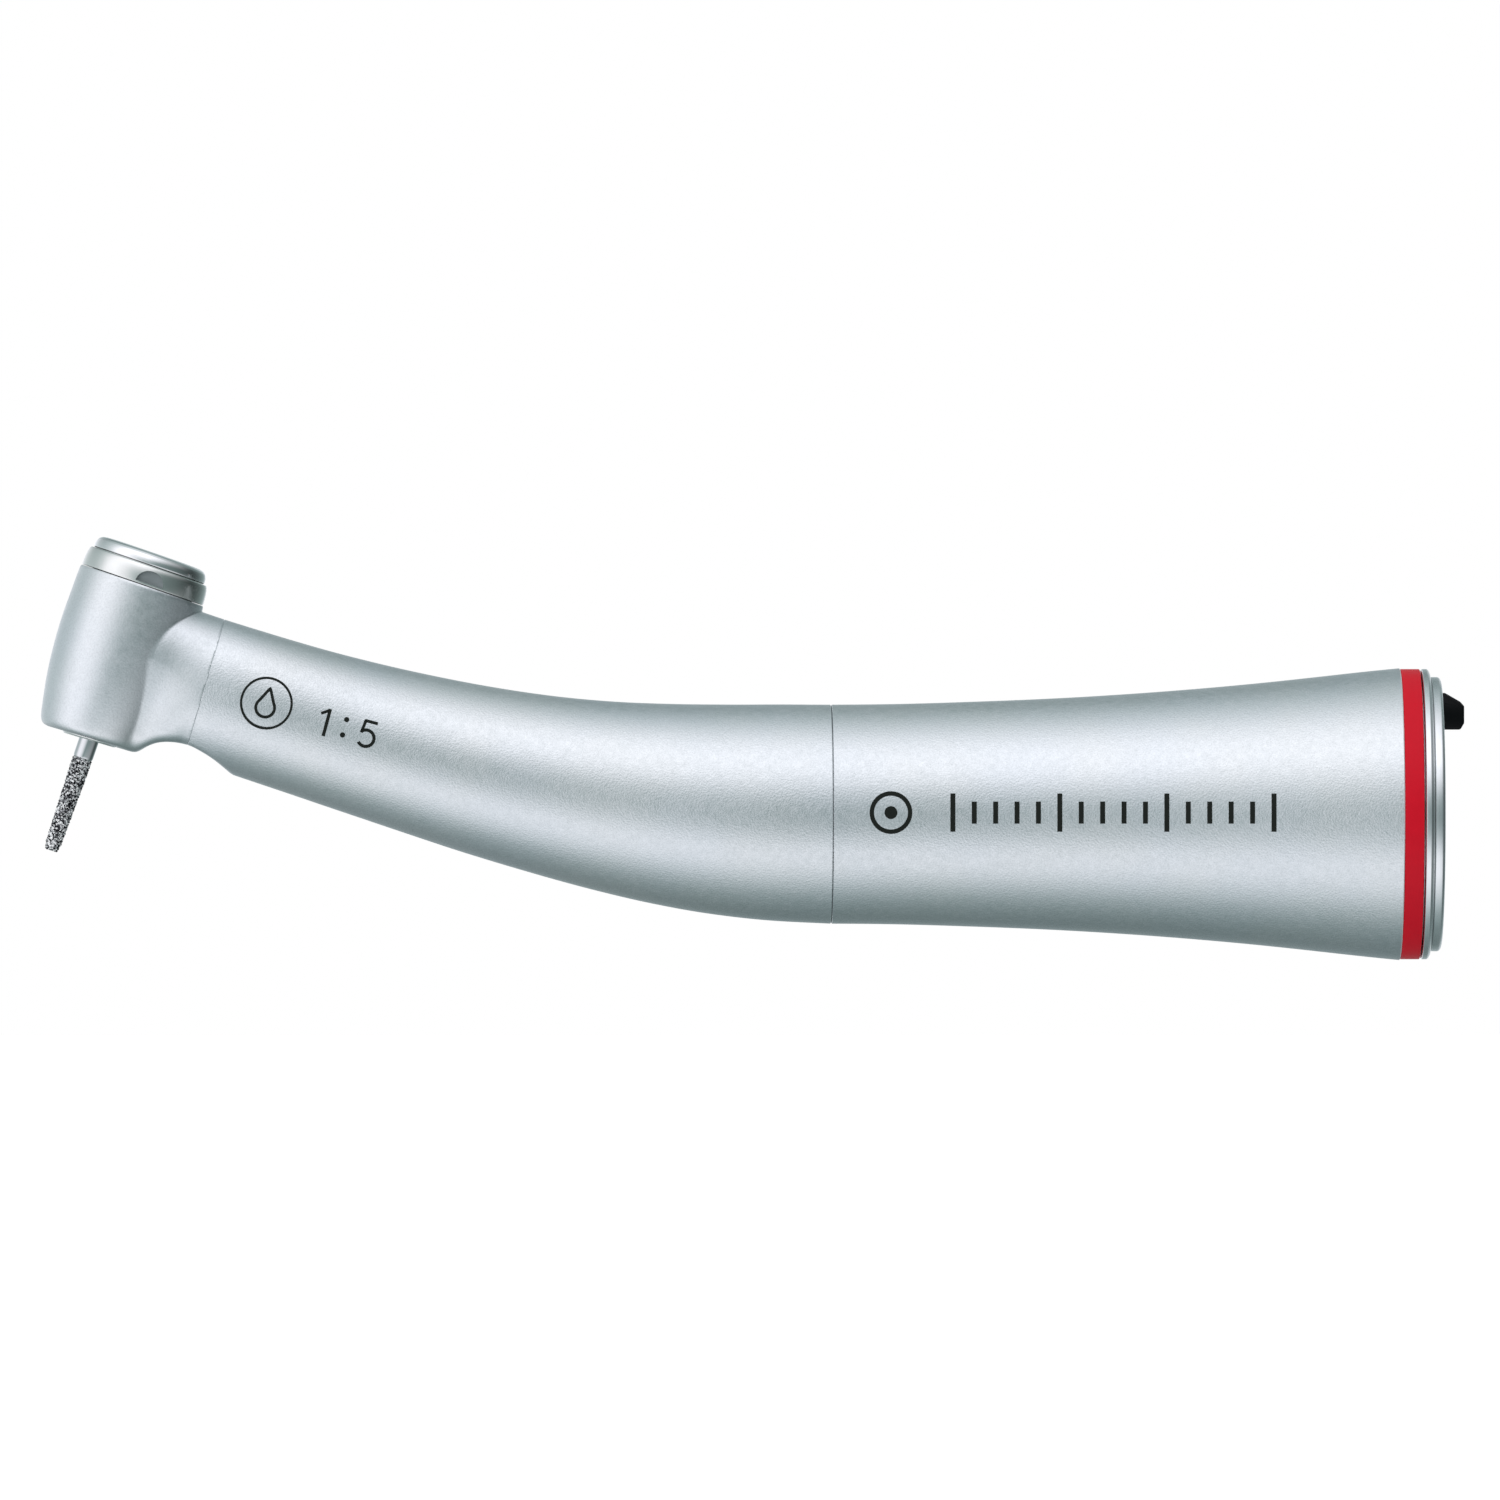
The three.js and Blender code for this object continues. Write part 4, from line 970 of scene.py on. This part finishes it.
# ------------------------------------------------------------------ cap, button and nozzle ring
CAP = [
    [4.5, 3.12], [4.5, 3.56], [5.53, 3.56], [5.53, 4.3], [5.56, 4.345], [5.65, 4.35],
    [6.0, 4.335], [6.3, 4.305], [6.55, 4.26], [6.72, 4.215], [6.83, 4.16], [6.88, 4.09],
    [6.88, 4.01], [6.1, 4.01], [6.1, 3.35], [5.75, 3.35], [5.75, 1.6], [5.42, 1.6], [5.42, 3.12]]
BUTTON_CAP = [
    [6.1, 0], [6.1, 0.9], [6.95, 0.9], [6.95, 2.95], [6.4, 2.95], [6.4, 3.25], [6.95, 3.25],
    [6.95, 3.6], [6.75, 3.6], [6.75, 3.9], [6.92, 3.9], [6.97, 3.96], [7.05, 3.975],
    [7.25, 3.95], [7.42, 3.9], [7.55, 3.83], [7.66, 3.72], [7.74, 3.56], [7.79, 3.3],
    [7.81, 2.9], [7.82, 2.5], [7.81, 1.9], [7.78, 1.2], [7.77, 0]]
NOZZLE_RING = [
    [-5.2, 1.42], [-5.2, 1.93], [-5.49, 1.93], [-5.56, 1.9], [-5.63, 1.82], [-5.65, 1.72],
    [-5.65, 1.58], [-5.61, 1.46], [-5.4, 1.42]]
POCKET_FLOOR = 4.06  # how far from the middle the flat floor of each side pocket lies


def build_cap():
    cap = turned_piece("cap_ring_body", "cap_ring", CAP, "spindle", CAP_METAL, segs=160,
                       radius=0.03)
    # an arched pocket on each side
    angles = math.pi * np.arange(25) / 24
    x, z = 0.4 + 0.97 * np.cos(angles), 5.68 + 0.9 * np.sin(angles)
    tools = []
    for side in (-1, 1):
        rows = [from_head(np.stack([x, np.full(25, side * y), z], 1)) for y in (POCKET_FLOOR, 6)]
        tools.append(cutter(*rings_mesh(rows)))
    cut(cap, tools, angle=30)
    # painted shade on the pocket floors, darker than the cap metal
    paint(cap, SHADE, lambda face: abs(abs(face.center[1]) - POCKET_FLOOR * MM) < 1e-5
          and abs(face.normal[1]) > 0.9995)
    turned_piece("push_button_cap", "push_button", BUTTON_CAP, "spindle", BUTTON, "button",
                 segs=160, radius=0.03)
    verts, faces = lathe(rounded(NOZZLE_RING, 0.03), "spindle")
    place("nozzle_ring_body", leaned(verts), faces, CAP_METAL, node="nozzle_ring")


# ------------------------------------------------------------------ bur
BUR_SHANK = [
    [3.3, 0], [3.3, 0.68], [3.15, 0.795], [-5.3, 0.795], [-5.4, 0.75], [-5.48, 0.69],
    [-6.8, 0.685], [-6.93, 0.655], [-7.0, 0.6], [-7.1, 0.5], [-13.2, 0.36], [-13.4, 0.3],
    [-13.45, 0]]
BOND_TOP, BOND_END = -6.93, -13.38
BOND_TIP = [[-13.47, 0.40], [-13.53, 0.3], [-13.56, 0.12]]
BOND_TOP_RADIUS, BOND_END_RADIUS = 0.63, 0.475
BOND_SIDES = 96
CRYSTALS, TIP_CRYSTALS = 1350, 60
OCTAHEDRON = np.array([[1, 0, 0], [-1, 0, 0], [0, 1, 0], [0, -1, 0], [0, 0, 1], [0, 0, -1]], float)
OCTAHEDRON_FACES = [(0, 2, 4), (2, 1, 4), (1, 3, 4), (3, 0, 4), (2, 0, 5), (1, 2, 5), (3, 1, 5),
                    (0, 3, 5)]


def bond_radius(t):
    return BOND_TOP_RADIUS + (BOND_END_RADIUS - BOND_TOP_RADIUS) * t


def bond_layer(rng):
    """Bonded layer with a lumpy skin."""
    tip_z, tip_radius = np.array(BOND_TIP).T
    heights = np.concatenate([np.linspace(BOND_TOP, BOND_END, 230), tip_z])
    radii = bond_radius(np.minimum((heights - BOND_TOP) / (BOND_END - BOND_TOP), 1))
    radii[heights > -7.0] = 0.54
    radii[-len(BOND_TIP):] = tip_radius
    lumps = rng.normal(size=(len(heights), BOND_SIDES))
    lumps = (lumps + np.roll(lumps, 1, 1) + np.roll(lumps, 1, 0)) / 1.7
    angles = np.linspace(0, 2 * math.pi, BOND_SIDES, endpoint=False)
    return rings_mesh([
        from_head(around("spindle", np.full(BOND_SIDES, z), radius + 0.012 * lump, angles))
        for z, radius, lump in zip(heights, radii, lumps)])


def crystal(i, rng):
    """Irregular octahedron half sunk in the bond. The last ones cover the tip."""
    t = (i + rng.random()) / CRYSTALS
    angle = (i * 2.39996 + rng.random() * 0.9) % (2 * math.pi)  # golden angle spread
    z = -7.0 - t * 6.42
    radius = bond_radius(t)
    if i > CRYSTALS - TIP_CRYSTALS:
        z = -13.5 - 0.02 * rng.random()
        radius = 0.42 * math.sqrt(rng.random())
    turn, _ = np.linalg.qr(rng.normal(size=(3, 3)))
    size = 0.055 + 0.045 * rng.random(3)
    points = (OCTAHEDRON * size * rng.uniform(0.8, 1.25, (6, 1))) @ turn.T
    return from_head(points + around("spindle", z, radius + 0.008, angle)), OCTAHEDRON_FACES


def build_bur():
    rng = np.random.default_rng(7)
    turned_piece("bur_shank", "diamond_bur", BUR_SHANK, "spindle", SHANK, "bur", segs=64,
                 radius=0.04)
    pieces = [bond_layer(rng)] + [crystal(i, rng) for i in range(CRYSTALS)]
    coating = new_object("bur_grit", *joined(pieces))
    coating.data.polygons.foreach_set("use_smooth", [False] * len(coating.data.polygons))
    register(coating, DIAMOND, "bur", "diamond_grit")


# ------------------------------------------------------------------ drive train and bearings
DOG_HUB = [
    [-18, 0], [-18, 0.9], [-18.1, 1.0], [-19.3, 1.0], [-19.3, 2.48], [-19.42, 2.6],
    [-20.4, 2.6], [-20.5, 2.5], [-20.8, 2.5], [-20.9, 2.6], [-22.5, 2.6], [-22.8, 2.3],
    [-22.8, 1.22], [-19.95, 1.22], [-19.95, 0]]
DRIVE_SHAFT = [[-44.8, 0], [-44.8, 1.3], [-44.6, 1.5], [-22.9, 1.5], [-22.9, 1.2], [-20.0, 1.2],
               [-20.0, 0]]
JOINT_SLEEVE = [[-44.0, 6.2], [-44.0, 6.58], [-39.4, 6.58], [-39.4, 6.2]]
FRONT_SHAFT = [[1.95, 0], [1.95, 0.8], [2.1, 1.0], [23.8, 1.0], [23.8, 0]]
PLUNGER = [[3.95, 0], [3.95, 0.45], [4.5, 0.95], [5.75, 0.95], [5.85, 0.8], [5.85, 0]]
WASHER = [[5.1, 2.0], [5.1, 2.9], [5.32, 2.9], [5.32, 2.0]]
CLAW_OUTER, CLAW_INNER, CLAW_HALF_ANGLE = 2.55, 1.35, 0.42
# claw sections: x, inset of the outline
CLAW_SECTIONS = ((-19.45, 0), (-18.6, 0), (-18.36, 0.02), (-18.25, 0.07), (-18.2, 0.16))
DAMPER_RADIUS, DAMPER_THICKNESS = 2.9, 0.13  # ring radius, radius of its round section
SPRING_SEAT, SPRING_RISE, SPRING_RADIUS, SPRING_TURNS = 5.79, 0.86, 2.3, 2.5
WIRE_RADIUS = 0.13

BALLS = 7
# bearing sizes: width, bore radius, outside radius, inner race radius, outer race radius
LARGE, SMALL, HEAD_SIZE = (2.0, 1.52, 3.57, 1.95, 3.1), (1.3, 1.02, 2.35, 1.3, 1.95), (
    1.7, 1.32, 2.75, 1.62, 2.4)
# name, axis, where it starts, size, body of the inner race, body of the balls, axis height
BEARINGS = (
    ("drive_front_bearing", "barrel", -42.5, LARGE, "drive_shaft_set", "drive_balls_set", 0.0),
    ("drive_rear_bearing", "barrel", -27.1, LARGE, "drive_shaft_set", "drive_balls_set", 0.0),
    ("mid_front_bearing", "barrel", -64.7, SMALL, "mid_shaft_set", "mid_balls_set", 2.4),
    ("mid_rear_bearing", "barrel", -50.6, SMALL, "mid_shaft_set", "mid_balls_set", 2.4),
    ("front_shaft_front_bearing", "front", 2.95, SMALL, "front_shaft_set", "front_balls_set", 0.0),
    ("front_shaft_rear_bearing", "front", 20.7, SMALL, "front_shaft_set", "front_balls_set", 0.0),
    ("head_upper_bearing", "spindle", 3.36, HEAD_SIZE, "spindle_set", "spindle_balls_set", 0.0),
    ("head_lower_bearing", "spindle", -5.12, HEAD_SIZE, "spindle_set", "spindle_balls_set", 0.0),
)


def claw_row(x, facing, inset):
    """One section of a wedge claw: its outer arc, then its inner arc back."""
    arcs = []
    for radius, way in ((CLAW_OUTER - inset, 1), (CLAW_INNER + inset, -1)):
        reach = CLAW_HALF_ANGLE - inset / radius
        angles = facing + way * np.linspace(-1, 1, 15) * reach
        arcs.append(np.stack([np.full(15, x), radius * np.cos(angles), radius * np.sin(angles)], 1))
    return from_barrel(np.concatenate(arcs))


def build_claws():
    """Three wedge claws on the drive dog's face, with eased edges."""
    for i in range(3):
        rows = [claw_row(x, 2 * math.pi * i / 3, inset) for x, inset in CLAW_SECTIONS]
        place("drive_dog_claw_%d" % (i + 1), *rings_mesh(rows), TURNED["barrel"],
              "drive_shaft_set", slot="turned_steel", angle=40)


def ball_mesh(radius):
    work = bmesh.new()
    bmesh.ops.create_icosphere(work, subdivisions=3, radius=radius)
    verts = np.array([v.co[:] for v in work.verts])
    faces = [tuple(v.index for v in face.verts) for face in work.faces]
    work.free()
    return verts, faces


def build_bearing(name, axis, start, size, inner_body, ball_body, centre_z):
    """Deep groove ball bearing: grooved races, a cage and true balls."""
    width, bore, outside, race_in, race_out = size
    end = start + width
    middle, pitch = start + width / 2, (race_in + race_out) / 2
    ball = (race_out - race_in) / 2 + 0.04
    reach = min(ball * 0.9, width * 0.32)
    angles = np.linspace(-math.pi / 2, math.pi / 2, 9)

    def race(suffix, wall, track, way, body):
        groove = [[middle + reach * math.sin(t), track + way * 0.085 * math.cos(t)]
                  for t in angles]
        profile = [[start, wall], [start, track], *groove, [end, track], [end, wall]]
        turned_piece(f"{name}_{suffix}", f"{name}_{suffix}_race", profile, axis, TURNED[axis],
                     body, segs=64, radius=0.04, centre_z=centre_z)

    race("outer", outside, race_out, 1, ROOT)
    race("inner", bore, race_in, -1, inner_body)
    verts, faces = ball_mesh(ball)
    pieces = []
    for i in range(BALLS):
        centre = around(axis, middle, pitch, 2 * math.pi * i / BALLS, centre_z)
        pieces.append((AXIS_TO_ROW[axis](verts + centre), faces))
    half, thick = ball * 0.42, 0.05
    cage = [[middle - half, pitch - thick], [middle - half, pitch + thick],
            [middle + half, pitch + thick], [middle + half, pitch - thick]]
    pieces.append(lathe(rounded(cage, 0.02, 2), axis, 64, centre_z))
    place(name + "_ball_set", *joined(pieces), CERAMIC, ball_body, name + "_balls", angle=50)


def build_dampers():
    angles = np.linspace(0, 2 * math.pi, 20, endpoint=False)
    for name, z in (("upper_damper_ring", 4.1), ("lower_damper_ring", -4.3)):
        ring = np.stack([z + DAMPER_THICKNESS * np.sin(angles),
                         DAMPER_RADIUS + DAMPER_THICKNESS * np.cos(angles)], 1)
        place(name + "_round", *lathe(ring, "spindle"), RUBBER, node=name)


def build_spring():
    t = np.linspace(0, 1, 200)
    rise = SPRING_SEAT + WIRE_RADIUS + SPRING_RISE * t
    path = from_head(around("spindle", rise, SPRING_RADIUS, 2 * math.pi * SPRING_TURNS * t))
    coil = place("button_spring_coil", *swept(path, WIRE_RADIUS, 14), SPRING,
                 node="button_spring", angle=50)
    anchor = from_head([[0, 0, SPRING_SEAT]])[0] * MM
    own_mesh(coil)


def build_inside():
    barrel_steel = TURNED["barrel"]
    turned_piece("drive_dog_hub", "drive_dog", DOG_HUB, "barrel", barrel_steel, "drive_shaft_set")
    build_claws()
    turned_piece("drive_shaft_turned", "drive_shaft", DRIVE_SHAFT, "barrel", barrel_steel,
                 "drive_shaft_set", segs=64)
    turned_piece("joint_sleeve_turned", "joint_sleeve", JOINT_SLEEVE, "barrel", barrel_steel,
                 segs=128)
    turned_piece("front_shaft_turned", "front_shaft", FRONT_SHAFT, "front", TURNED["front"],
                 "front_shaft_set", segs=64)
    for bearing in BEARINGS:
        build_bearing(*bearing)
    turned_piece("plunger_turned", "chuck_plunger", PLUNGER, "spindle", TURNED["spindle"],
                 "plunger", segs=64, radius=0.04)
    turned_piece("preload_washer_turned", "preload_washer", WASHER, "spindle", SPRING, radius=0.04)
    build_dampers()
    build_spring()


# ------------------------------------------------------------------ printed marks
INK_LIFT, INK_DEPTH = -0.012, 0.03  # y from the skin to the print's face and to its sunk back
STROKE_STEP = 0.12


def neck_side(x, z):
    """y of the neck sheath's -Y side at barrel frame x, z."""
    tilt = np.interp(x, SLOPE_X, NECK_SLOPE)
    # station on the centreline whose tilted section holds this point
    station = x - (z - neck_z(x)) * np.sin(tilt) * np.cos(tilt)
    up = (z - neck_z(station)) / np.cos(tilt)
    power = neck_power(station)
    height_part = (np.abs(up) / neck_half_height(station)) ** power
    width = neck_half_width(station)
    return -bisect(np.zeros(len(x)), np.full(len(x), 9.0),
                   lambda y: height_part + (y / width) ** power < 1, 40)


def rear_side(x, z):
    """y of the rear sheath's -Y side at barrel frame x, z."""
    radius = rear_radius(x)
    return -np.sqrt(np.maximum(radius * radius - z * z, 0.01))


def print_area(surface, origin=(0, 0), tilt=0.0):
    """Function laying print points on a surface: along and across the print, and y lift."""
    cos, sin = math.cos(tilt), math.sin(tilt)

    def lay(along, across, lift):
        x = origin[0] + along * cos + across * sin
        z = origin[1] - along * sin + across * cos
        return from_barrel(np.stack([x, surface(x, z) + lift, z], 1))

    return lay


def stroke(lay, points, width, loop=False):
    """A printed line of one width."""
    corners = np.array(points, float)
    if loop:
        corners = np.vstack([corners, corners[:1]])
    lengths = np.linalg.norm(np.diff(corners, axis=0), axis=1)
    fine = [corners[0]]
    for start, end, length in zip(corners[:-1], corners[1:], lengths):
        count = max(1, int(math.ceil(length / STROKE_STEP)))
        fine += [start + (end - start) * k / count for k in range(1, count + 1)]
    fine = np.array(fine)
    if loop:
        fine = fine[:-1]
        tangents = np.roll(fine, -1, 0) - np.roll(fine, 1, 0)
    else:
        tangents = np.gradient(fine, axis=0)
    tangents /= np.linalg.norm(tangents, axis=1)[:, None] + 1e-12
    rows = []
    for point, (along, across) in zip(fine, tangents):
        normal = np.array([-across, along])
        line = (np.linspace(-0.5, 0.5, 4)[:, None] * width * normal + point).T
        rows.append(np.concatenate([lay(*line, INK_LIFT), lay(*line, INK_DEPTH)[::-1]]))
    return rings_mesh(rows, loop)


def dot(lay, along, across, radius):
    """A printed round dot."""
    n = 40
    angles = np.linspace(0, 2 * math.pi, n, endpoint=False)

    def ring(size, lift):
        return lay(along + size * np.cos(angles), across + size * np.sin(angles), lift)

    verts = np.concatenate([
        ring(0, INK_LIFT)[:1], ring(radius / 2, INK_LIFT), ring(radius, INK_LIFT),
        ring(radius, INK_DEPTH), ring(0, INK_DEPTH)[:1]])
    faces = [(0, 1 + i, 1 + (i + 1) % n) for i in range(n)]
    for base in (1, 1 + n):
        for i in range(n):
            j = (i + 1) % n
            faces.append((base + i, base + n + i, base + n + j, base + j))
    last = len(verts) - 1
    faces += [(last, 1 + 2 * n + (i + 1) % n, 1 + 2 * n + i) for i in range(n)]
    return verts, faces


def arc(centre, radius, start, end, count=28):
    """Points of an arc, its angles in degrees."""
    angles = np.radians(np.linspace(start, end, count))
    return np.stack([centre[0] + radius * np.cos(angles),
                     centre[1] + radius * np.sin(angles)], 1).tolist()


def circle(lay, centre, radius, width):
    return stroke(lay, arc(centre, radius, 0, 360, 49)[:-1], width, loop=True)


def printed(name, pieces):
    register(new_object(name, *joined(pieces)), MARK, ROOT, "black_peg")


def build_marks():
    tilt = math.radians(15.2)
    # the figures 1:5
    lay = print_area(neck_side, (-76.33, 5.32), tilt)
    printed("ratio_figures", [
        stroke(lay, [[-0.5, 1.46], [0.0, 1.8]], 0.2),
        stroke(lay, [[0.03, 1.9], [0.03, 0.0]], 0.23),
        dot(lay, 1.28, 0.42, 0.18),
        dot(lay, 1.28, 1.5, 0.18),
        stroke(lay, [[3.4, 1.78], [2.55, 1.78]], 0.21),
        stroke(lay, [[2.57, 1.85], [2.46, 0.92]], 0.21),
        stroke(lay, [[2.44, 0.97], *arc((2.86, 0.62), 0.56, 128, -140)], 0.22)])
    # a ring round one drop
    lay = print_area(neck_side, (-80.15, 7.55), tilt)
    drop = [[0.0, 1.06], *arc((0, -0.32), 0.64, 38, -218, 31)]
    printed("water_symbol", [circle(lay, (0, 0), 1.72, 0.16), stroke(lay, drop, 0.2, loop=True)])
    # a ringed dot and a row of bars along the grip, every fifth one long
    lay = print_area(rear_side)
    middle_z, target_x, first_x, pitch = 0.12, -37.8, -33.6, 1.45
    marks = [circle(lay, (target_x, middle_z), 1.3, 0.3), dot(lay, target_x, middle_z, 0.44)]
    for i in range(16):
        x = first_x + pitch * i
        half = 1.3 if i % 5 == 0 else 0.75
        marks.append(stroke(lay, [[x, middle_z - half], [x, middle_z + half]], 0.34))
    printed("index_marks", marks)


build_head()
build_inside()
build_marks()
build_neck()
build_rear()
build_end()
build_cap()
build_bur()

# ------------------------------------------------------------------ world
WORLD_STRENGTH = 1.36
# softbox levels: direction in degrees, grey it leaves on satin metal from 0 to 255
UP_DOWN = [  # about X, 0 towards -Y, positive upwards
    (-180, 205), (-168, 175), (-152, 118), (-138, 102), (-120, 116), (-104, 130), (-88, 157),
    (-72, 202), (-58, 230), (-42, 246), (-28, 216), (-12, 146), (2, 124), (15, 170), (28, 231),
    (42, 260), (58, 264), (72, 251), (88, 222), (104, 192), (120, 165), (136, 131), (152, 119),
    (168, 165), (180, 205)]
LEFT_RIGHT = [  # about Z, 0 towards -Y, positive towards +X
    (-180, 250), (-165, 235), (-150, 205), (-130, 184), (-110, 184), (-92, 204), (-76, 242),
    (-56, 252), (-34, 232), (-18, 190), (-5, 140), (12, 122), (32, 118), (60, 97), (88, 64),
    (104, 60), (122, 88), (140, 122), (156, 156), (170, 228), (180, 250)]


def linear(level):
    """Linear light of a display level."""
    level = level / 255.0
    return level / 12.92 if level <= 0.04045 else ((level + 0.055) / 1.055) ** 2.4


def glow(level):
    """Softbox colour for a grey level, cool where it is dim."""
    dim = max(0.0, min(1.0, (235 - level) / 110))
    tinted = (level * (1 - 0.115 * dim), level * (1 + 0.002 * dim), level * (1.028 - 0.02 * dim))
    return tuple(linear(min(c, 300)) for c in tinted)


def build_world():
    """Softboxes all round for the metal to reflect, and plain white behind the piece."""
    world = bpy.data.worlds.new("studio")
    bpy.context.scene.world = world
    world.use_nodes = True
    tree = world.node_tree
    tree.nodes.clear()
    output = add(tree, "OutputWorld")
    source = add(tree, "TexCoord")
    split = add(tree, "SeparateXYZ", source.outputs["Generated"]).outputs
    toward = calc(tree, "MULTIPLY", split["Y"], -1)

    def turn(side):
        """Angle from -Y towards side, as 0 to 1."""
        angle = calc(tree, "ARCTAN2", side, toward)
        return calc(tree, "MULTIPLY_ADD", angle, 1 / (2 * math.pi), 0.5)

    def boxes(fac, levels):
        return ramp(tree, fac, [((angle + 180) / 360, glow(v)) for angle, v in levels])

    pitch, yaw = turn(split["Z"]), turn(split["X"])
    up_down, left_right = boxes(pitch, UP_DOWN), boxes(yaw, LEFT_RIGHT)
    x_squared = calc(tree, "MULTIPLY", split["X"], split["X"])
    z_squared = calc(tree, "MULTIPLY", split["Z"], split["Z"])
    both = calc(tree, "ADD", calc(tree, "ADD", x_squared, z_squared), 0.0004)
    sideways = calc(tree, "DIVIDE", x_squared, both)
    mix = add(tree, "MixRGB", sideways, up_down, left_right)
    studio = add(tree, "Background", Color=mix.outputs[0], Strength=WORLD_STRENGTH)
    white = add(tree, "Background", Color=(1, 1, 1, 1), Strength=1.0)
    path = add(tree, "LightPath")
    seen = add(tree, "MixShader", path.outputs["Is Camera Ray"], studio.outputs[0],
               white.outputs[0])
    feed(tree, output.inputs["Surface"], seen.outputs[0])


# ------------------------------------------------------------------ floor, light, camera (metres)
def build_floor():
    """A wide pale floor, well below the piece, clear when seen from underneath."""
    half, z = 6, -0.06
    mesh = bpy.data.meshes.new("studio_floor")
    corners = [(-half, -half, z), (half, -half, z), (half, half, z), (-half, half, z)]
    mesh.from_pydata(corners, [], [(0, 1, 2, 3)])
    floor = bpy.data.objects.new("studio_floor", mesh)
    bpy.context.scene.collection.objects.link(floor)
    material, tree, bsdf = new_material("pale_floor")
    set_inputs(tree, bsdf, Base_Color=(0.8, 0.8, 0.8, 1), Roughness=0.9,
               Emission_Color=(1, 1, 1, 1), Emission_Strength=0.8)
    geometry = add(tree, "NewGeometry")
    clear = add(tree, "BsdfTransparent")
    mix = add(tree, "MixShader", geometry.outputs["Backfacing"], bsdf.outputs[0], clear.outputs[0])
    feed(tree, tree.nodes["Material Output"].inputs["Surface"], mix.outputs[0])
    mesh.materials.append(material)
    floor.visible_glossy = False
    floor.visible_diffuse = False
    floor.visible_transmission = False


def build_key():
    light = bpy.data.lights.new("soft_key", "AREA")
    light.shape = "RECTANGLE"
    light.size, light.size_y = 0.9, 0.5
    light.energy = 1.2
    lamp = bpy.data.objects.new("soft_key", light)
    lamp.location = (-0.25, -0.7, 0.9)
    lamp.rotation_euler = (math.radians(38), 0, math.radians(-18))
    lamp.visible_glossy = False
    bpy.context.scene.collection.objects.link(lamp)


def build_camera():
    """Long lens looking level along +Y, turned a little to +X."""
    distance, aim_shift = 2.6, 0.054
    lens = bpy.data.cameras.new("camera")
    lens.lens, lens.sensor_width, lens.sensor_fit = 917.4, 36.0, "HORIZONTAL"
    lens.clip_start, lens.clip_end = 0.05, 20
    camera = bpy.data.objects.new("camera", lens)
    camera.location = (-0.08321, -distance, 0.004367)
    camera.rotation_euler = (math.pi / 2, 0, -math.atan2(aim_shift, distance))
    bpy.context.scene.collection.objects.link(camera)
    bpy.context.scene.camera = camera
    bpy.context.scene.view_settings.view_transform = "Standard"


build_world()
build_floor()
build_key()
build_camera()
